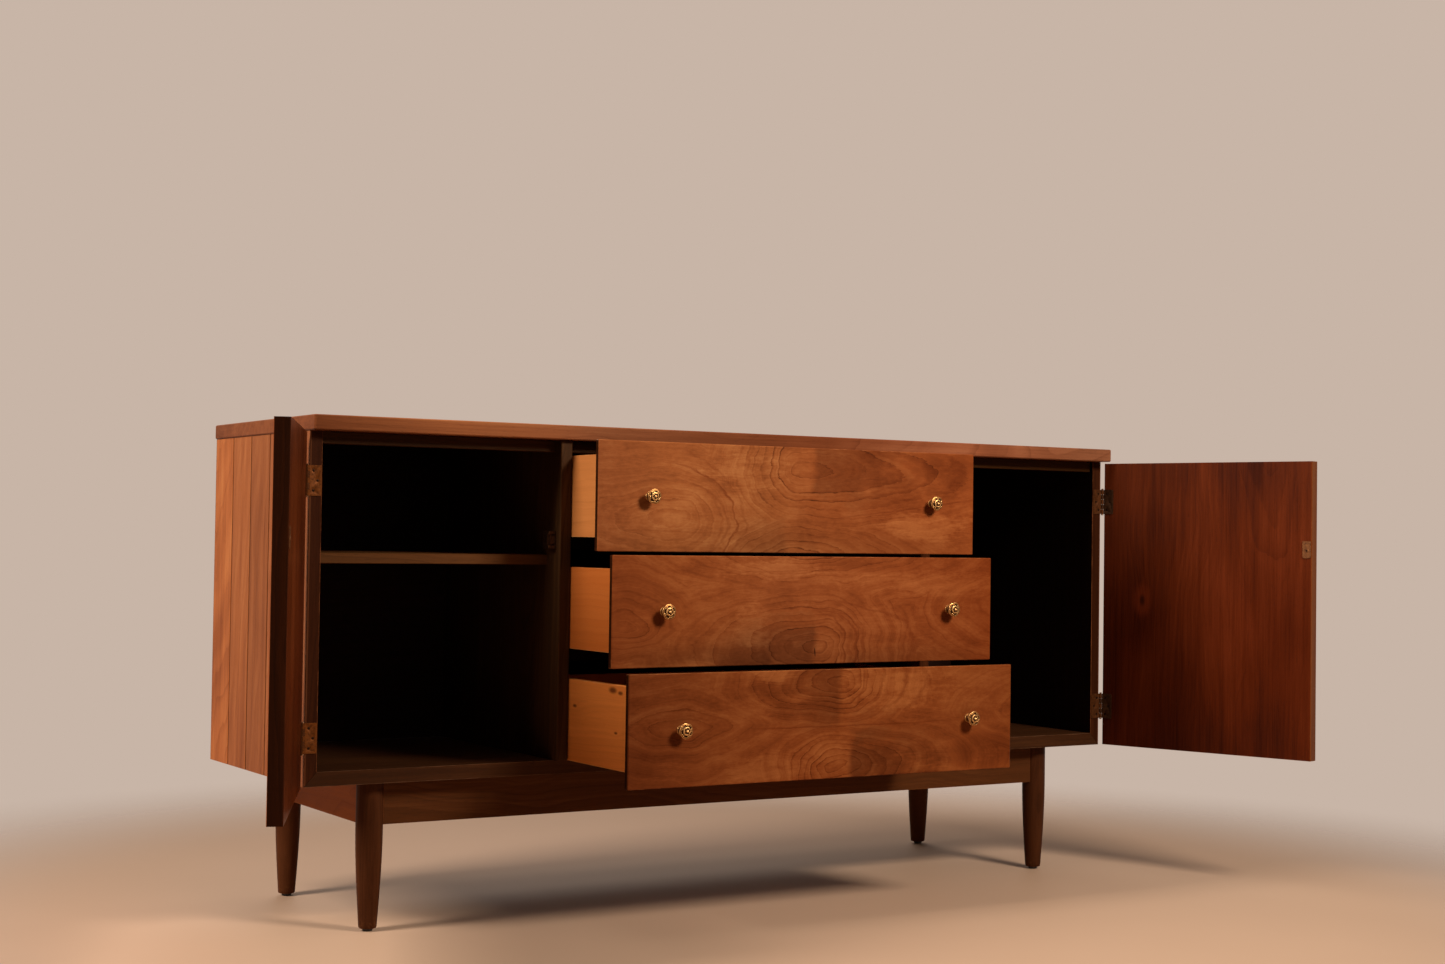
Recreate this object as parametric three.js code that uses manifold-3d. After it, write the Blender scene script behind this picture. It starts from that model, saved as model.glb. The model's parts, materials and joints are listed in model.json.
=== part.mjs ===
// Sideboard on turned legs: two hinged doors, three lipped drawers, planked sides.
// Millimetres, +Z up, front towards -Y. Every position below is measured from the front left
// corner of the top panel on the floor; the finished group is centred at the end.
import * as THREE from 'three';
import { mergeVertices } from 'three/addons/utils/BufferGeometryUtils.js';
import Module from 'manifold-3d';

const wasm = await Module();
wasm.setup();
const { Manifold, Mesh } = wasm;

// ---- driving sizes ----
const WIDTH = 1580;                 // top panel, left to right
const DEPTH = 460;                  // top panel, front to back
const HEIGHT = 787;                 // floor to top
const GAP = 0.3;                    // between two pieces that touch
const RUN = 0.3;                    // between a drawer and what it runs on
const EASE = 0.8;                   // eased arris of a board

const TOP_THICK = 23;
const TOP_EASE = 1.6;
const BOARD = 20;                   // sides, dividers, dust boards
const BOTTOM_THICK = 22;
const BACK_THICK = 8;
const SIDE_OVERHANG = 3;            // top panel beyond the sides
const CASE_SETBACK = 26.5;          // case front behind the top panel's front
const DIVIDER_SETBACK = 12;         // the dividers stand forward of the case front
const LEG_HEIGHT = 230;             // floor to the underside of the case
const COMPARTMENT = 396;            // clear width behind each door
const HOUSING = 5;                  // depth of a housing or groove that carries a board

const PLANKS = 5;
const V_WIDTH = 5;
const V_DEPTH = 3;

const RAIL_HEIGHT = 19;
const RAIL_THICK = 18;
const RAIL_SETBACK = 7;             // behind the case front
const SHELF_THICK = 16;
const SHELF_TOP = 580;
const SHELF_SETBACK = 31;           // behind the case front

const FRONT_FACE = 1.5;             // closed doors and drawers behind the top panel's front
const FRONT_LOW = 0.5;              // their lower edge above the underside of the case
const FRONT_HIGH = 3;               // their upper edge below the top panel
const DOOR_THICK = 22;
const DOOR_CLEAR = 1.7;             // door edge to divider
const DOOR_BEVEL = 1.5;
const LEFT_OPEN = 113.5;            // degrees from closed, at rest
const RIGHT_OPEN = 108.5;           // degrees

const DRAWERS = 3;
const DRAWER_NAMES = ['bottom', 'middle', 'top'];
const DRAWER_OUT = [218, 162, 112]; // pulled out, at rest
const DRAWER_GAP = 5;               // between two drawer fronts
const LIP_THICK = 10;
const FIELD_THICK = 12;             // raised part behind the lip
const LIP_INSET = 1;                // front edge inside the divider's outer face
const BOX_SIDE = 12;
const BOX_HEIGHT = 130;
const BOX_LENGTH = 400;
const BOX_CLEAR = 1.2;              // box side to divider
const BOX_BOTTOM = 6;
const BOX_BOTTOM_UP = 10;
const KNOB_INSET = 92;              // knob centre from the end of the front
const KNOB_RADIUS = 13.2;
const KNOB_OUT = 22;                // bead in front of the seat
const KNOB_SEGMENTS = 36;
const OUTER_PETALS = 6;
const INNER_PETALS = 4;

const HINGE_HEIGHT = 46;
const HINGE_IN = 72.5;              // hinge centre from the end of the door
const LEAF_WIDTH = 20.5;
const LEAF_THICK = 1.1;
const KNUCKLES = 5;
const KNUCKLE_GAP = 0.4;
const KNUCKLE_RADIUS = 2.9;
const KNUCKLE_SIDES = 12;
const PIN_RADIUS = 1.4;
const PIN_CLEAR = 0.3;
const PIN_OUT = 3.2;                // pin axis outside the case side
const PIN_HEAD = 1.5;

const STRIKE_WIDTH = 15;
const STRIKE_HEIGHT = 30;
const STRIKE_THICK = 1.2;
const STRIKE_Z = 604;
const CATCH_WIDTH = 13;
const CATCH_DEPTH = 22;
const CATCH_HEIGHT = 28;
const CATCH_ARM = 5;                // arms above and below the magnet
const MAGNET_DEPTH = 8;
const MAGNET_CLEAR = 2.5;

const LEG_INSET_X = 126;            // leg axis from the end of the top panel
const LEG_FRONT_Y = 68;
const LEG_BACK_Y = 422;
const LEG_TOP_RADIUS = 21;
const LEG_FOOT_RADIUS = 14;
const LEG_FOOT_ROUND = 2.5;
const GLIDE_RADIUS = 8;
const GLIDE_HEIGHT = 4;
const APRON_HEIGHT = 67;
const APRON_THICK = 20;
const APRON_OUT = 11;               // apron face outside the leg axes

// ---- sizes that follow ----
const topUnder = HEIGHT - TOP_THICK;
const caseLeft = SIDE_OVERHANG;
const caseFront = CASE_SETBACK;
const innerBack = DEPTH - BACK_THICK;
const floorTop = LEG_HEIGHT + BOTTOM_THICK;
const dividerLeft = caseLeft + BOARD + COMPARTMENT;
const bankLeft = dividerLeft + BOARD;
const frontLow = LEG_HEIGHT + FRONT_LOW;
const frontHigh = topUnder - FRONT_HIGH;
const frontHeight = (frontHigh - frontLow - (DRAWERS - 1) * DRAWER_GAP) / DRAWERS;
const frontPitch = frontHeight + DRAWER_GAP;
const lipLeft = dividerLeft + LIP_INSET;
const lipWidth = WIDTH - 2 * lipLeft;
const lipBack = FRONT_FACE + LIP_THICK;
const boxLeft = bankLeft + BOX_CLEAR;
const doorBack = FRONT_FACE + DOOR_THICK;
const pinY = (doorBack + caseFront) / 2;
const pinLeft = caseLeft - PIN_OUT;
const railFront = caseFront + RAIL_SETBACK;
const railBottom = topUnder - RAIL_HEIGHT;
const shelfFront = caseFront + SHELF_SETBACK;

// ---- materials, one made for each piece ----
const finishes = {
  topWalnut: [0x9a5f3a, 0.42, 0],
  sideWalnut: [0xa8643a, 0.5, 0],
  edgeWalnut: [0x5a3420, 0.55, 0],
  insideWalnut: [0x4a2a1a, 0.65, 0],
  frontWalnut: [0x9c5a2e, 0.42, 0],
  doorWalnut: [0x6e2c14, 0.45, 0],
  legWalnut: [0x5e3722, 0.48, 0],
  maple: [0xd09a5c, 0.5, 0],
  ply: [0xb98a55, 0.6, 0],
  bronze: [0x8a5a2c, 0.38, 0.9],
  brass: [0xb08a4a, 0.32, 0.95],
  nylon: [0x2a211c, 0.6, 0],
};

function finish(name) {
  const [color, roughness, metalness] = finishes[name];
  return new THREE.MeshStandardMaterial({ color, roughness, metalness });
}

function piece(name, geometry, finishName) {
  const mesh = new THREE.Mesh(geometry, finish(finishName));
  mesh.name = name;
  return mesh;
}

// ---- solid helpers ----
function toSolid(geometry) {
  const bare = geometry.clone();
  bare.deleteAttribute('normal');
  bare.deleteAttribute('uv');
  const merged = mergeVertices(bare, 1e-4);
  return new Manifold(new Mesh({
    numProp: 3,
    vertProperties: merged.getAttribute('position').array,
    triVerts: Uint32Array.from(merged.index.array),
  }));
}

function toGeometry(solid) {
  const mesh = solid.getMesh();
  const geometry = new THREE.BufferGeometry();
  geometry.setAttribute('position', new THREE.BufferAttribute(mesh.vertProperties, 3));
  geometry.setIndex(new THREE.BufferAttribute(mesh.triVerts, 1));
  const flat = geometry.toNonIndexed();
  flat.computeVertexNormals();
  return flat;
}

function cut(geometry, ...tools) {
  let solid = toSolid(geometry);
  for (const tool of tools) solid = solid.subtract(toSolid(tool));
  return toGeometry(solid);
}

function join(...geometries) {
  let solid = toSolid(geometries[0]);
  for (const more of geometries.slice(1)) solid = solid.add(toSolid(more));
  return toGeometry(solid);
}

// plain block between two corners
function block(x0, x1, y0, y1, z0, z1) {
  const geometry = new THREE.BoxGeometry(x1 - x0, y1 - y0, z1 - z0);
  return geometry.translate((x0 + x1) / 2, (y0 + y1) / 2, (z0 + z1) / 2);
}

// block with eased arrises
function board(x0, x1, y0, y1, z0, z1, ease = EASE) {
  const shape = new THREE.Shape();
  const outline = [
    [x0 + 2 * ease, y0 + ease], [x1 - 2 * ease, y0 + ease],
    [x1 - ease, y0 + 2 * ease], [x1 - ease, y1 - 2 * ease],
    [x1 - 2 * ease, y1 - ease], [x0 + 2 * ease, y1 - ease],
    [x0 + ease, y1 - 2 * ease], [x0 + ease, y0 + 2 * ease],
  ];
  shape.setFromPoints(outline.map(([x, y]) => new THREE.Vector2(x, y)));
  const geometry = new THREE.ExtrudeGeometry(shape, {
    depth: z1 - z0 - 2 * ease,
    bevelEnabled: true,
    bevelThickness: ease,
    bevelSize: ease,
    bevelSegments: 1,
  });
  return geometry.translate(0, 0, z0 + ease);
}

// outline in the XY plane, raised from z0 to z1
function upright(outline, z0, z1) {
  const shape = new THREE.Shape(outline.map(([x, y]) => new THREE.Vector2(x, y)));
  const geometry = new THREE.ExtrudeGeometry(shape, { depth: z1 - z0, bevelEnabled: false });
  return geometry.translate(0, 0, z0);
}

// outline in the XZ plane, running from y0 to y1
function lengthwise(outline, y0, y1) {
  const shape = new THREE.Shape(outline.map(([x, z]) => new THREE.Vector2(x, -z)));
  const geometry = new THREE.ExtrudeGeometry(shape, { depth: y1 - y0, bevelEnabled: false });
  return geometry.rotateX(-Math.PI / 2).translate(0, y0, 0);
}

// turned shape about a vertical axis; profile is [radius, height] from the bottom up
function turned(profile, segments, x = 0, y = 0) {
  const points = profile.map(([r, z]) => new THREE.Vector2(r, z));
  const geometry = new THREE.LatheGeometry(points, segments);
  return geometry.rotateX(Math.PI / 2).translate(x, y, 0);
}

function rod(radius, z0, z1, x, y, segments) {
  const geometry = new THREE.CylinderGeometry(radius, radius, z1 - z0, segments);
  return geometry.rotateX(Math.PI / 2).translate(x, y, (z0 + z1) / 2);
}

// the same piece on the other side of the case
function mirrored(geometry) {
  const flipped = geometry.index ? geometry.toNonIndexed() : geometry.clone();
  flipped.scale(-1, 1, 1).translate(WIDTH, 0, 0);
  const spots = flipped.getAttribute('position');
  for (let i = 0; i < spots.count; i += 3) {
    for (let k = 0; k < 3; k += 1) {
      const keep = spots.getComponent(i + 1, k);
      spots.setComponent(i + 1, k, spots.getComponent(i + 2, k));
      spots.setComponent(i + 2, k, keep);
    }
  }
  flipped.computeVertexNormals();
  return flipped;
}

// ---- case ----
function sidePanel() {
  const inner = caseLeft + BOARD;
  const plank = (DEPTH - caseFront) / PLANKS;
  const outline = [[caseLeft + EASE, caseFront], [inner, caseFront]];
  outline.push([inner, innerBack - GAP], [inner - BACK_THICK, innerBack - GAP], [inner - BACK_THICK, DEPTH]);
  outline.push([caseLeft, DEPTH]);
  for (let i = PLANKS - 1; i > 0; i -= 1) {
    const y = caseFront + i * plank;
    outline.push([caseLeft, y + V_WIDTH / 2], [caseLeft + V_DEPTH, y], [caseLeft, y - V_WIDTH / 2]);
  }
  outline.push([caseLeft, caseFront + EASE]);
  const body = upright(outline, LEG_HEIGHT, topUnder - GAP);
  const wedge = lengthwise([
    [caseLeft, LEG_HEIGHT - 1], [inner + 1, LEG_HEIGHT - 1],
    [inner + 1, floorTop + 1.1], [caseLeft, LEG_HEIGHT],
  ], 0, DEPTH + 1);
  return cut(body, wedge);
}

function housing(x0, x1, top, thick, front) {
  return block(x0, x1, front, innerBack + 1, top - thick - GAP, top + GAP);
}

function shelfHousing(x0, x1) {
  return housing(x0, x1, SHELF_TOP, SHELF_THICK, shelfFront - GAP);
}

function divider() {
  const body = board(
    dividerLeft, bankLeft, DIVIDER_SETBACK, innerBack - GAP, floorTop + GAP, topUnder - GAP,
  );
  const tools = [block(
    dividerLeft - 1, bankLeft + 1, railFront - GAP, railFront + RAIL_THICK + GAP,
    railBottom - GAP, topUnder + 1,
  )];
  const housingLeft = bankLeft - HOUSING - GAP;
  for (let i = 1; i < DRAWERS; i += 1) {
    const top = floorTop + i * frontPitch;
    tools.push(housing(housingLeft, bankLeft + 1, top, BOARD, caseFront - GAP));
  }
  return [body, tools];
}

function addCase(group) {
  const inner = caseLeft + BOARD;
  group.add(piece('top_panel', board(0, WIDTH, 0, DEPTH, topUnder, HEIGHT, TOP_EASE), 'topWalnut'));
  const side = sidePanel();
  const leftSide = cut(side, shelfHousing(inner - HOUSING - GAP, inner + 1));
  group.add(piece('left_side_panel', leftSide, 'sideWalnut'));
  group.add(piece('right_side_panel', mirrored(side), 'sideWalnut'));

  const floorEnd = caseLeft + 2 * GAP;
  const floorOutline = [
    [floorEnd, LEG_HEIGHT], [WIDTH - floorEnd, LEG_HEIGHT],
    [WIDTH - floorEnd - BOARD, floorTop], [floorEnd + BOARD, floorTop],
  ];
  group.add(piece('bottom_panel', lengthwise(floorOutline, caseFront, DEPTH), 'edgeWalnut'));
  const backLeft = inner - BACK_THICK + GAP;
  group.add(piece(
    'back_panel', block(backLeft, WIDTH - backLeft, innerBack, DEPTH, floorTop + GAP, topUnder - GAP), 'ply',
  ));

  const [body, tools] = divider();
  const leftDivider = cut(body, ...tools, shelfHousing(dividerLeft - 1, dividerLeft + HOUSING + GAP));
  group.add(piece('left_divider', leftDivider, 'edgeWalnut'));
  group.add(piece('right_divider', mirrored(cut(body, ...tools)), 'edgeWalnut'));
  group.add(piece('top_front_rail', board(
    inner + GAP, WIDTH - inner - GAP, railFront, railFront + RAIL_THICK, railBottom, topUnder - GAP,
  ), 'edgeWalnut'));
  group.add(piece('left_shelf', board(
    inner - HOUSING, dividerLeft + HOUSING, shelfFront, innerBack - GAP, SHELF_TOP - SHELF_THICK, SHELF_TOP,
  ), 'edgeWalnut'));
  for (let i = 1; i < DRAWERS; i += 1) {
    const top = floorTop + i * frontPitch;
    const name = i === 1 ? 'lower_dust_board' : 'upper_dust_board';
    group.add(piece(name, board(
      bankLeft - HOUSING, WIDTH - bankLeft + HOUSING, caseFront, innerBack - GAP, top - BOARD, top,
    ), 'insideWalnut'));
  }
}

// ---- legs and aprons ----
function legProfile() {
  const apronLow = LEG_HEIGHT - APRON_HEIGHT;
  const foot = GLIDE_HEIGHT + GAP;
  const taperLow = foot + LEG_FOOT_ROUND;
  const profile = [[0, foot], [LEG_FOOT_RADIUS - LEG_FOOT_ROUND, foot], [LEG_FOOT_RADIUS, taperLow]];
  const steps = 6;
  for (let i = 1; i <= steps; i += 1) {
    const s = i / steps;
    const r = LEG_FOOT_RADIUS + (LEG_TOP_RADIUS - LEG_FOOT_RADIUS) * Math.sin(s * Math.PI / 2);
    profile.push([r, taperLow + s * (apronLow - taperLow)]);
  }
  profile.push([LEG_TOP_RADIUS, LEG_HEIGHT - GAP], [0, LEG_HEIGHT - GAP]);
  return profile;
}

function addLegs(group) {
  const ends = [['left', LEG_INSET_X], ['right', WIDTH - LEG_INSET_X]];
  const rows = [['front', LEG_FRONT_Y], ['back', LEG_BACK_Y]];
  for (const [row, y] of rows) {
    for (const [end, x] of ends) {
      group.add(piece(`${row}_${end}_leg`, turned(legProfile(), 24, x, y), 'legWalnut'));
      const sole = [
        [0, 0], [GLIDE_RADIUS - 1, 0], [GLIDE_RADIUS, 1], [GLIDE_RADIUS, GLIDE_HEIGHT], [0, GLIDE_HEIGHT],
      ];
      group.add(piece(`${row}_${end}_glide`, turned(sole, 20, x, y), 'nylon'));
    }
  }
}

function addAprons(group) {
  const low = LEG_HEIGHT - APRON_HEIGHT;
  const high = LEG_HEIGHT - GAP;
  const left = LEG_INSET_X;
  const right = WIDTH - LEG_INSET_X;
  const socket = (x, y) => rod(LEG_TOP_RADIUS + GAP, low - 5, high + 5, x, y, 24);
  const long = (y0) => cut(
    block(left, right, y0, y0 + APRON_THICK, low, high),
    socket(left, y0 < DEPTH / 2 ? LEG_FRONT_Y : LEG_BACK_Y),
    socket(right, y0 < DEPTH / 2 ? LEG_FRONT_Y : LEG_BACK_Y),
  );
  const short = cut(
    block(left - APRON_OUT, left - APRON_OUT + APRON_THICK, LEG_FRONT_Y, LEG_BACK_Y, low, high),
    socket(left, LEG_FRONT_Y),
    socket(left, LEG_BACK_Y),
  );
  group.add(piece('front_apron', long(LEG_FRONT_Y - APRON_OUT), 'legWalnut'));
  group.add(piece('back_apron', long(LEG_BACK_Y + APRON_OUT - APRON_THICK), 'legWalnut'));
  group.add(piece('left_apron', short, 'legWalnut'));
  group.add(piece('right_apron', mirrored(short), 'legWalnut'));
}

// ---- hinges, drawn for the left door closed ----
function hingeKnuckles(centre, first) {
  const pitch = HINGE_HEIGHT / KNUCKLES;
  const low = centre - HINGE_HEIGHT / 2;
  const spans = [];
  for (let i = first; i < KNUCKLES; i += 2) {
    spans.push([low + i * pitch + KNUCKLE_GAP / 2, low + (i + 1) * pitch - KNUCKLE_GAP / 2]);
  }
  return spans;
}

// plate against the wood, with a neck from the plate to each knuckle
function hingeLeaf(centre, first, y0, y1) {
  const low = centre - HINGE_HEIGHT / 2;
  const plateLeft = caseLeft - 1;
  const parts = [block(plateLeft, plateLeft + LEAF_WIDTH, y0, y1, low, low + HINGE_HEIGHT)];
  for (const [a, b] of hingeKnuckles(centre, first)) {
    parts.push(block(pinLeft, plateLeft + 1, y0, y1, a, b));
    parts.push(rod(KNUCKLE_RADIUS, a, b, pinLeft, pinY, KNUCKLE_SIDES));
  }
  return parts;
}

// a rod on the pin's axis
function pinRod(radius, low, high) {
  return rod(radius, low, high, pinLeft, pinY, KNUCKLE_SIDES);
}

// room round the other leaf's knuckles
function knuckleRoom(centre, first) {
  return hingeKnuckles(centre, first).map(([low, high]) => (
    pinRod(KNUCKLE_RADIUS + GAP, low - KNUCKLE_GAP, high + KNUCKLE_GAP)
  ));
}

function caseLeaf(centre) {
  const leaf = join(...hingeLeaf(centre, 0, caseFront - GAP - LEAF_THICK, caseFront - GAP));
  const bore = pinRod(PIN_RADIUS + PIN_CLEAR, centre - HINGE_HEIGHT, centre + HINGE_HEIGHT);
  return cut(leaf, bore, ...knuckleRoom(centre, 1));
}

function doorLeaf(centre) {
  const leaf = join(...hingeLeaf(centre, 1, doorBack + GAP, doorBack + GAP + LEAF_THICK));
  const half = HINGE_HEIGHT / 2;
  const pin = pinRod(PIN_RADIUS, centre - half - PIN_HEAD, centre + half + PIN_HEAD);
  const tips = [-1, 1].map((way) => {
    const middle = centre + way * (half + KNUCKLE_GAP + PIN_HEAD / 2);
    return pinRod(KNUCKLE_RADIUS - 0.6, middle - PIN_HEAD / 2, middle + PIN_HEAD / 2);
  });
  return join(cut(leaf, ...knuckleRoom(centre, 0)), pin, ...tips);
}

const hingeCentres = { lower: frontLow + HINGE_IN, upper: frontHigh - HINGE_IN };

function doorBoard() {
  const right = dividerLeft - DOOR_CLEAR;
  const outline = [
    [caseLeft + EASE, FRONT_FACE], [right - EASE, FRONT_FACE], [right, FRONT_FACE + EASE],
    [right, doorBack - DOOR_BEVEL], [right - DOOR_BEVEL, doorBack],
    [caseLeft + EASE, doorBack], [caseLeft, doorBack - EASE], [caseLeft, FRONT_FACE + EASE],
  ];
  return upright(outline, frontLow, frontHigh);
}

function strikePlate() {
  const right = dividerLeft - DOOR_CLEAR - DOOR_BEVEL;
  const y = doorBack + GAP;
  return board(right - STRIKE_WIDTH, right, y, y + STRIKE_THICK, STRIKE_Z - STRIKE_HEIGHT / 2,
    STRIKE_Z + STRIKE_HEIGHT / 2, 0.3);
}

// U-shaped housing on the divider with a magnet block between its arms
function catchBody() {
  const right = dividerLeft - GAP;
  const left = right - CATCH_WIDTH;
  const front = doorBack + GAP + STRIKE_THICK + GAP;
  const low = STRIKE_Z - CATCH_HEIGHT / 2;
  const high = STRIKE_Z + CATCH_HEIGHT / 2;
  const armLow = low + CATCH_ARM;
  const armHigh = high - CATCH_ARM;
  const body = board(left, right, front, front + CATCH_DEPTH, low, high, 0.6);
  const recess = block(left - 1, right - MAGNET_CLEAR, front - 1, front + MAGNET_DEPTH - 3, armLow, armHigh);
  const magnet = block(
    left + MAGNET_CLEAR, right - 2, front + 1, front + MAGNET_DEPTH,
    armLow + MAGNET_CLEAR, armHigh - MAGNET_CLEAR,
  );
  return join(cut(body, recess), magnet);
}

// a door and what it carries, turned about its pin
function doorGroup(side, geometries, openDegrees) {
  const sign = side === 'left' ? -1 : 1;
  const axis = side === 'left' ? pinLeft : WIDTH - pinLeft;
  const swing = new THREE.Group();
  swing.position.set(axis, pinY, 0);
  swing.rotation.z = sign * THREE.MathUtils.degToRad(openDegrees);
  const carried = new THREE.Group();
  carried.position.set(-axis, -pinY, 0);
  for (const [name, geometry, finishName] of geometries) {
    const own = side === 'left' ? geometry : mirrored(geometry);
    carried.add(piece(`${side}_${name}`, own, finishName));
  }
  swing.add(carried);
  return swing;
}

function addDoors(group) {
  for (const [side, open] of [['left', LEFT_OPEN], ['right', RIGHT_OPEN]]) {
    const own = (geometry) => (side === 'left' ? geometry : mirrored(geometry));
    for (const [level, z] of Object.entries(hingeCentres)) {
      group.add(piece(`${side}_${level}_case_leaf`, own(caseLeaf(z)), 'bronze'));
    }
    group.add(piece(`${side}_catch`, own(catchBody()), 'bronze'));
    group.add(doorGroup(side, [
      ['door', doorBoard(), 'doorWalnut'],
      ['upper_door_leaf', doorLeaf(hingeCentres.upper), 'bronze'],
      ['lower_door_leaf', doorLeaf(hingeCentres.lower), 'bronze'],
      ['strike_plate', strikePlate(), 'bronze'],
    ], open));
  }
}

// ---- drawers, drawn closed ----
function drawerFront(low) {
  const boxLow = low + BOTTOM_THICK - FRONT_LOW + RUN;
  const lip = board(lipLeft, lipLeft + lipWidth, FRONT_FACE, lipBack, low, low + frontHeight, 1);
  const fieldLeft = boxLeft + BOX_SIDE + GAP;
  const field = block(
    fieldLeft, WIDTH - fieldLeft, lipBack - 1, lipBack + FIELD_THICK, boxLow, boxLow + BOX_HEIGHT,
  );
  const groove = block(
    0, WIDTH, lipBack + FIELD_THICK - HOUSING, lipBack + FIELD_THICK + 1,
    boxLow + BOX_BOTTOM_UP - GAP, boxLow + BOX_BOTTOM_UP + BOX_BOTTOM + GAP,
  );
  return join(lip, cut(field, groove));
}

function drawerSide(boxLow) {
  const x0 = boxLeft;
  const x1 = boxLeft + BOX_SIDE;
  const grooveLow = boxLow + BOX_BOTTOM_UP - GAP;
  const grooveHigh = boxLow + BOX_BOTTOM_UP + BOX_BOTTOM + GAP;
  const high = boxLow + BOX_HEIGHT;
  const outline = [
    [x0, boxLow], [x1, boxLow], [x1, grooveLow], [x1 - HOUSING, grooveLow], [x1 - HOUSING, grooveHigh],
    [x1, grooveHigh], [x1, high - EASE], [x1 - EASE, high], [x0 + EASE, high], [x0, high - EASE],
  ];
  return lengthwise(outline, lipBack + GAP, lipBack + GAP + BOX_LENGTH);
}

// turned shape whose rims are drawn in between their petals, along +Z from the origin;
// each row is [radius, height, petals, how far the notches go in as a share of the radius]
function rosette(rows, segments) {
  const profile = rows.map(([r, z]) => new THREE.Vector2(r, z));
  const geometry = new THREE.LatheGeometry(profile, segments);
  const spots = geometry.getAttribute('position');
  for (let i = 0; i < spots.count; i += 1) {
    const [radius, , petals, notch] = rows[i % rows.length];
    const turn = (Math.floor(i / rows.length) / segments) * 2 * Math.PI;
    const drawn = notch * (1 - Math.abs(Math.sin(petals * turn / 2)));
    spots.setX(i, spots.getX(i) * (1 - drawn));
    spots.setZ(i, spots.getZ(i) * (1 - drawn));
    spots.setY(i, spots.getY(i) - 0.5 * drawn * radius);
  }
  return geometry.rotateX(Math.PI / 2);
}

// knob standing along +Z from its seat: flange, neck, cupped outer and inner petals, bead
function knobShape() {
  const rows = [
    [0, 0, 1, 0], [0.54, 0, 1, 0], [0.57, 0.06, 1, 0], [0.4, 0.14, 1, 0], [0.29, 0.32, 1, 0],
    [0.42, 0.5, 1, 0], [0.76, 0.6, OUTER_PETALS, 0.06], [1, 0.72, OUTER_PETALS, 0.15],
    [0.95, 0.81, OUTER_PETALS, 0.17], [0.68, 0.72, 1, 0], [0.57, 0.85, INNER_PETALS, 0.16],
    [0.48, 0.91, INNER_PETALS, 0.2], [0.3, 0.82, 1, 0], [0.25, 0.91, 1, 0], [0.15, 0.98, 1, 0],
    [0, 1, 1, 0],
  ];
  const sized = rows.map(([r, z, ...scallop]) => [r * KNOB_RADIUS, z * KNOB_OUT, ...scallop]);
  return rosette(sized, KNOB_SEGMENTS);
}

function addDrawers(group) {
  const knob = knobShape().rotateX(Math.PI / 2);
  for (let i = 0; i < DRAWERS; i += 1) {
    const name = `${DRAWER_NAMES[i]}_drawer`;
    const low = frontLow + i * frontPitch;
    const boxLow = floorTop + i * frontPitch + RUN;
    const drawer = new THREE.Group();
    drawer.position.y = -DRAWER_OUT[i];
    drawer.add(piece(`${name}_front`, drawerFront(low), 'frontWalnut'));
    const side = drawerSide(boxLow);
    drawer.add(piece(`${name}_left_side`, side, 'maple'));
    drawer.add(piece(`${name}_right_side`, mirrored(side), 'maple'));
    const inside = boxLeft + BOX_SIDE;
    const boxBack = lipBack + GAP + BOX_LENGTH;
    const bottomTop = boxLow + BOX_BOTTOM_UP + BOX_BOTTOM;
    drawer.add(piece(`${name}_back`, board(
      inside + GAP, WIDTH - inside - GAP, boxBack - BOX_SIDE, boxBack,
      bottomTop + GAP, boxLow + BOX_HEIGHT - 6,
    ), 'maple'));
    drawer.add(piece(`${name}_bottom`, block(
      inside - HOUSING + GAP, WIDTH - inside + HOUSING - GAP,
      lipBack + FIELD_THICK - HOUSING + GAP, boxBack - GAP, boxLow + BOX_BOTTOM_UP, bottomTop,
    ), 'ply'));
    const seats = [['left', lipLeft + KNOB_INSET], ['right', WIDTH - lipLeft - KNOB_INSET]];
    for (const [end, x] of seats) {
      const own = knob.clone().translate(x, FRONT_FACE - GAP, low + frontHeight / 2);
      drawer.add(piece(`${name}_${end}_knob`, own, 'brass'));
    }
    group.add(drawer);
  }
}

const model = new THREE.Group();
addCase(model);
addLegs(model);
addAprons(model);
addDoors(model);
addDrawers(model);

// origin on the floor under the middle of the whole piece as it stands, doors and drawers open
const sideboard = new THREE.Group();
sideboard.name = 'sideboard';
sideboard.add(model);
sideboard.updateMatrixWorld(true);
const extent = new THREE.Box3().setFromObject(model, true);
model.position.set(-(extent.min.x + extent.max.x) / 2, -(extent.min.y + extent.max.y) / 2, 0);

export default sideboard;
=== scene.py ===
import json
import math

import bmesh
import bpy
import numpy as np
from mathutils import Matrix, Vector


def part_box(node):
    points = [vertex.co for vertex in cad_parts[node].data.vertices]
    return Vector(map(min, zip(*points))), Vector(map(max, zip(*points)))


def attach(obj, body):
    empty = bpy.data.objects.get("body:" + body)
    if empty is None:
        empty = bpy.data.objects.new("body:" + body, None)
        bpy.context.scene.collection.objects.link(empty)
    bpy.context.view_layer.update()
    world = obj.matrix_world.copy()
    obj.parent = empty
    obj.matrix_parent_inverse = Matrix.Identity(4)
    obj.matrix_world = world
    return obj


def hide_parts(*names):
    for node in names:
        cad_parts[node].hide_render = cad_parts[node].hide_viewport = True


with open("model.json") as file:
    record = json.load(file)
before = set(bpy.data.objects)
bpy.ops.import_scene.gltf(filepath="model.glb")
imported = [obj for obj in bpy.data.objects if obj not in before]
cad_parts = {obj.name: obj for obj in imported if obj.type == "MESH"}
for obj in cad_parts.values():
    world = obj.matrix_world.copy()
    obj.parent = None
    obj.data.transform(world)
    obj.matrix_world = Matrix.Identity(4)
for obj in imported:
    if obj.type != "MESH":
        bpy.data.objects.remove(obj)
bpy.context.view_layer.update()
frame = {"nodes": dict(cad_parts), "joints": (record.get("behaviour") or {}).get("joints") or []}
joints = {joint["name"]: joint for joint in frame["joints"]}
drawerNames = ("top", "middle", "bottom")
sideNames = ("left", "right")
alongX, alongY, alongZ = (1, 0, 0), (0, 1, 0), (0, 0, 1)
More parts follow.
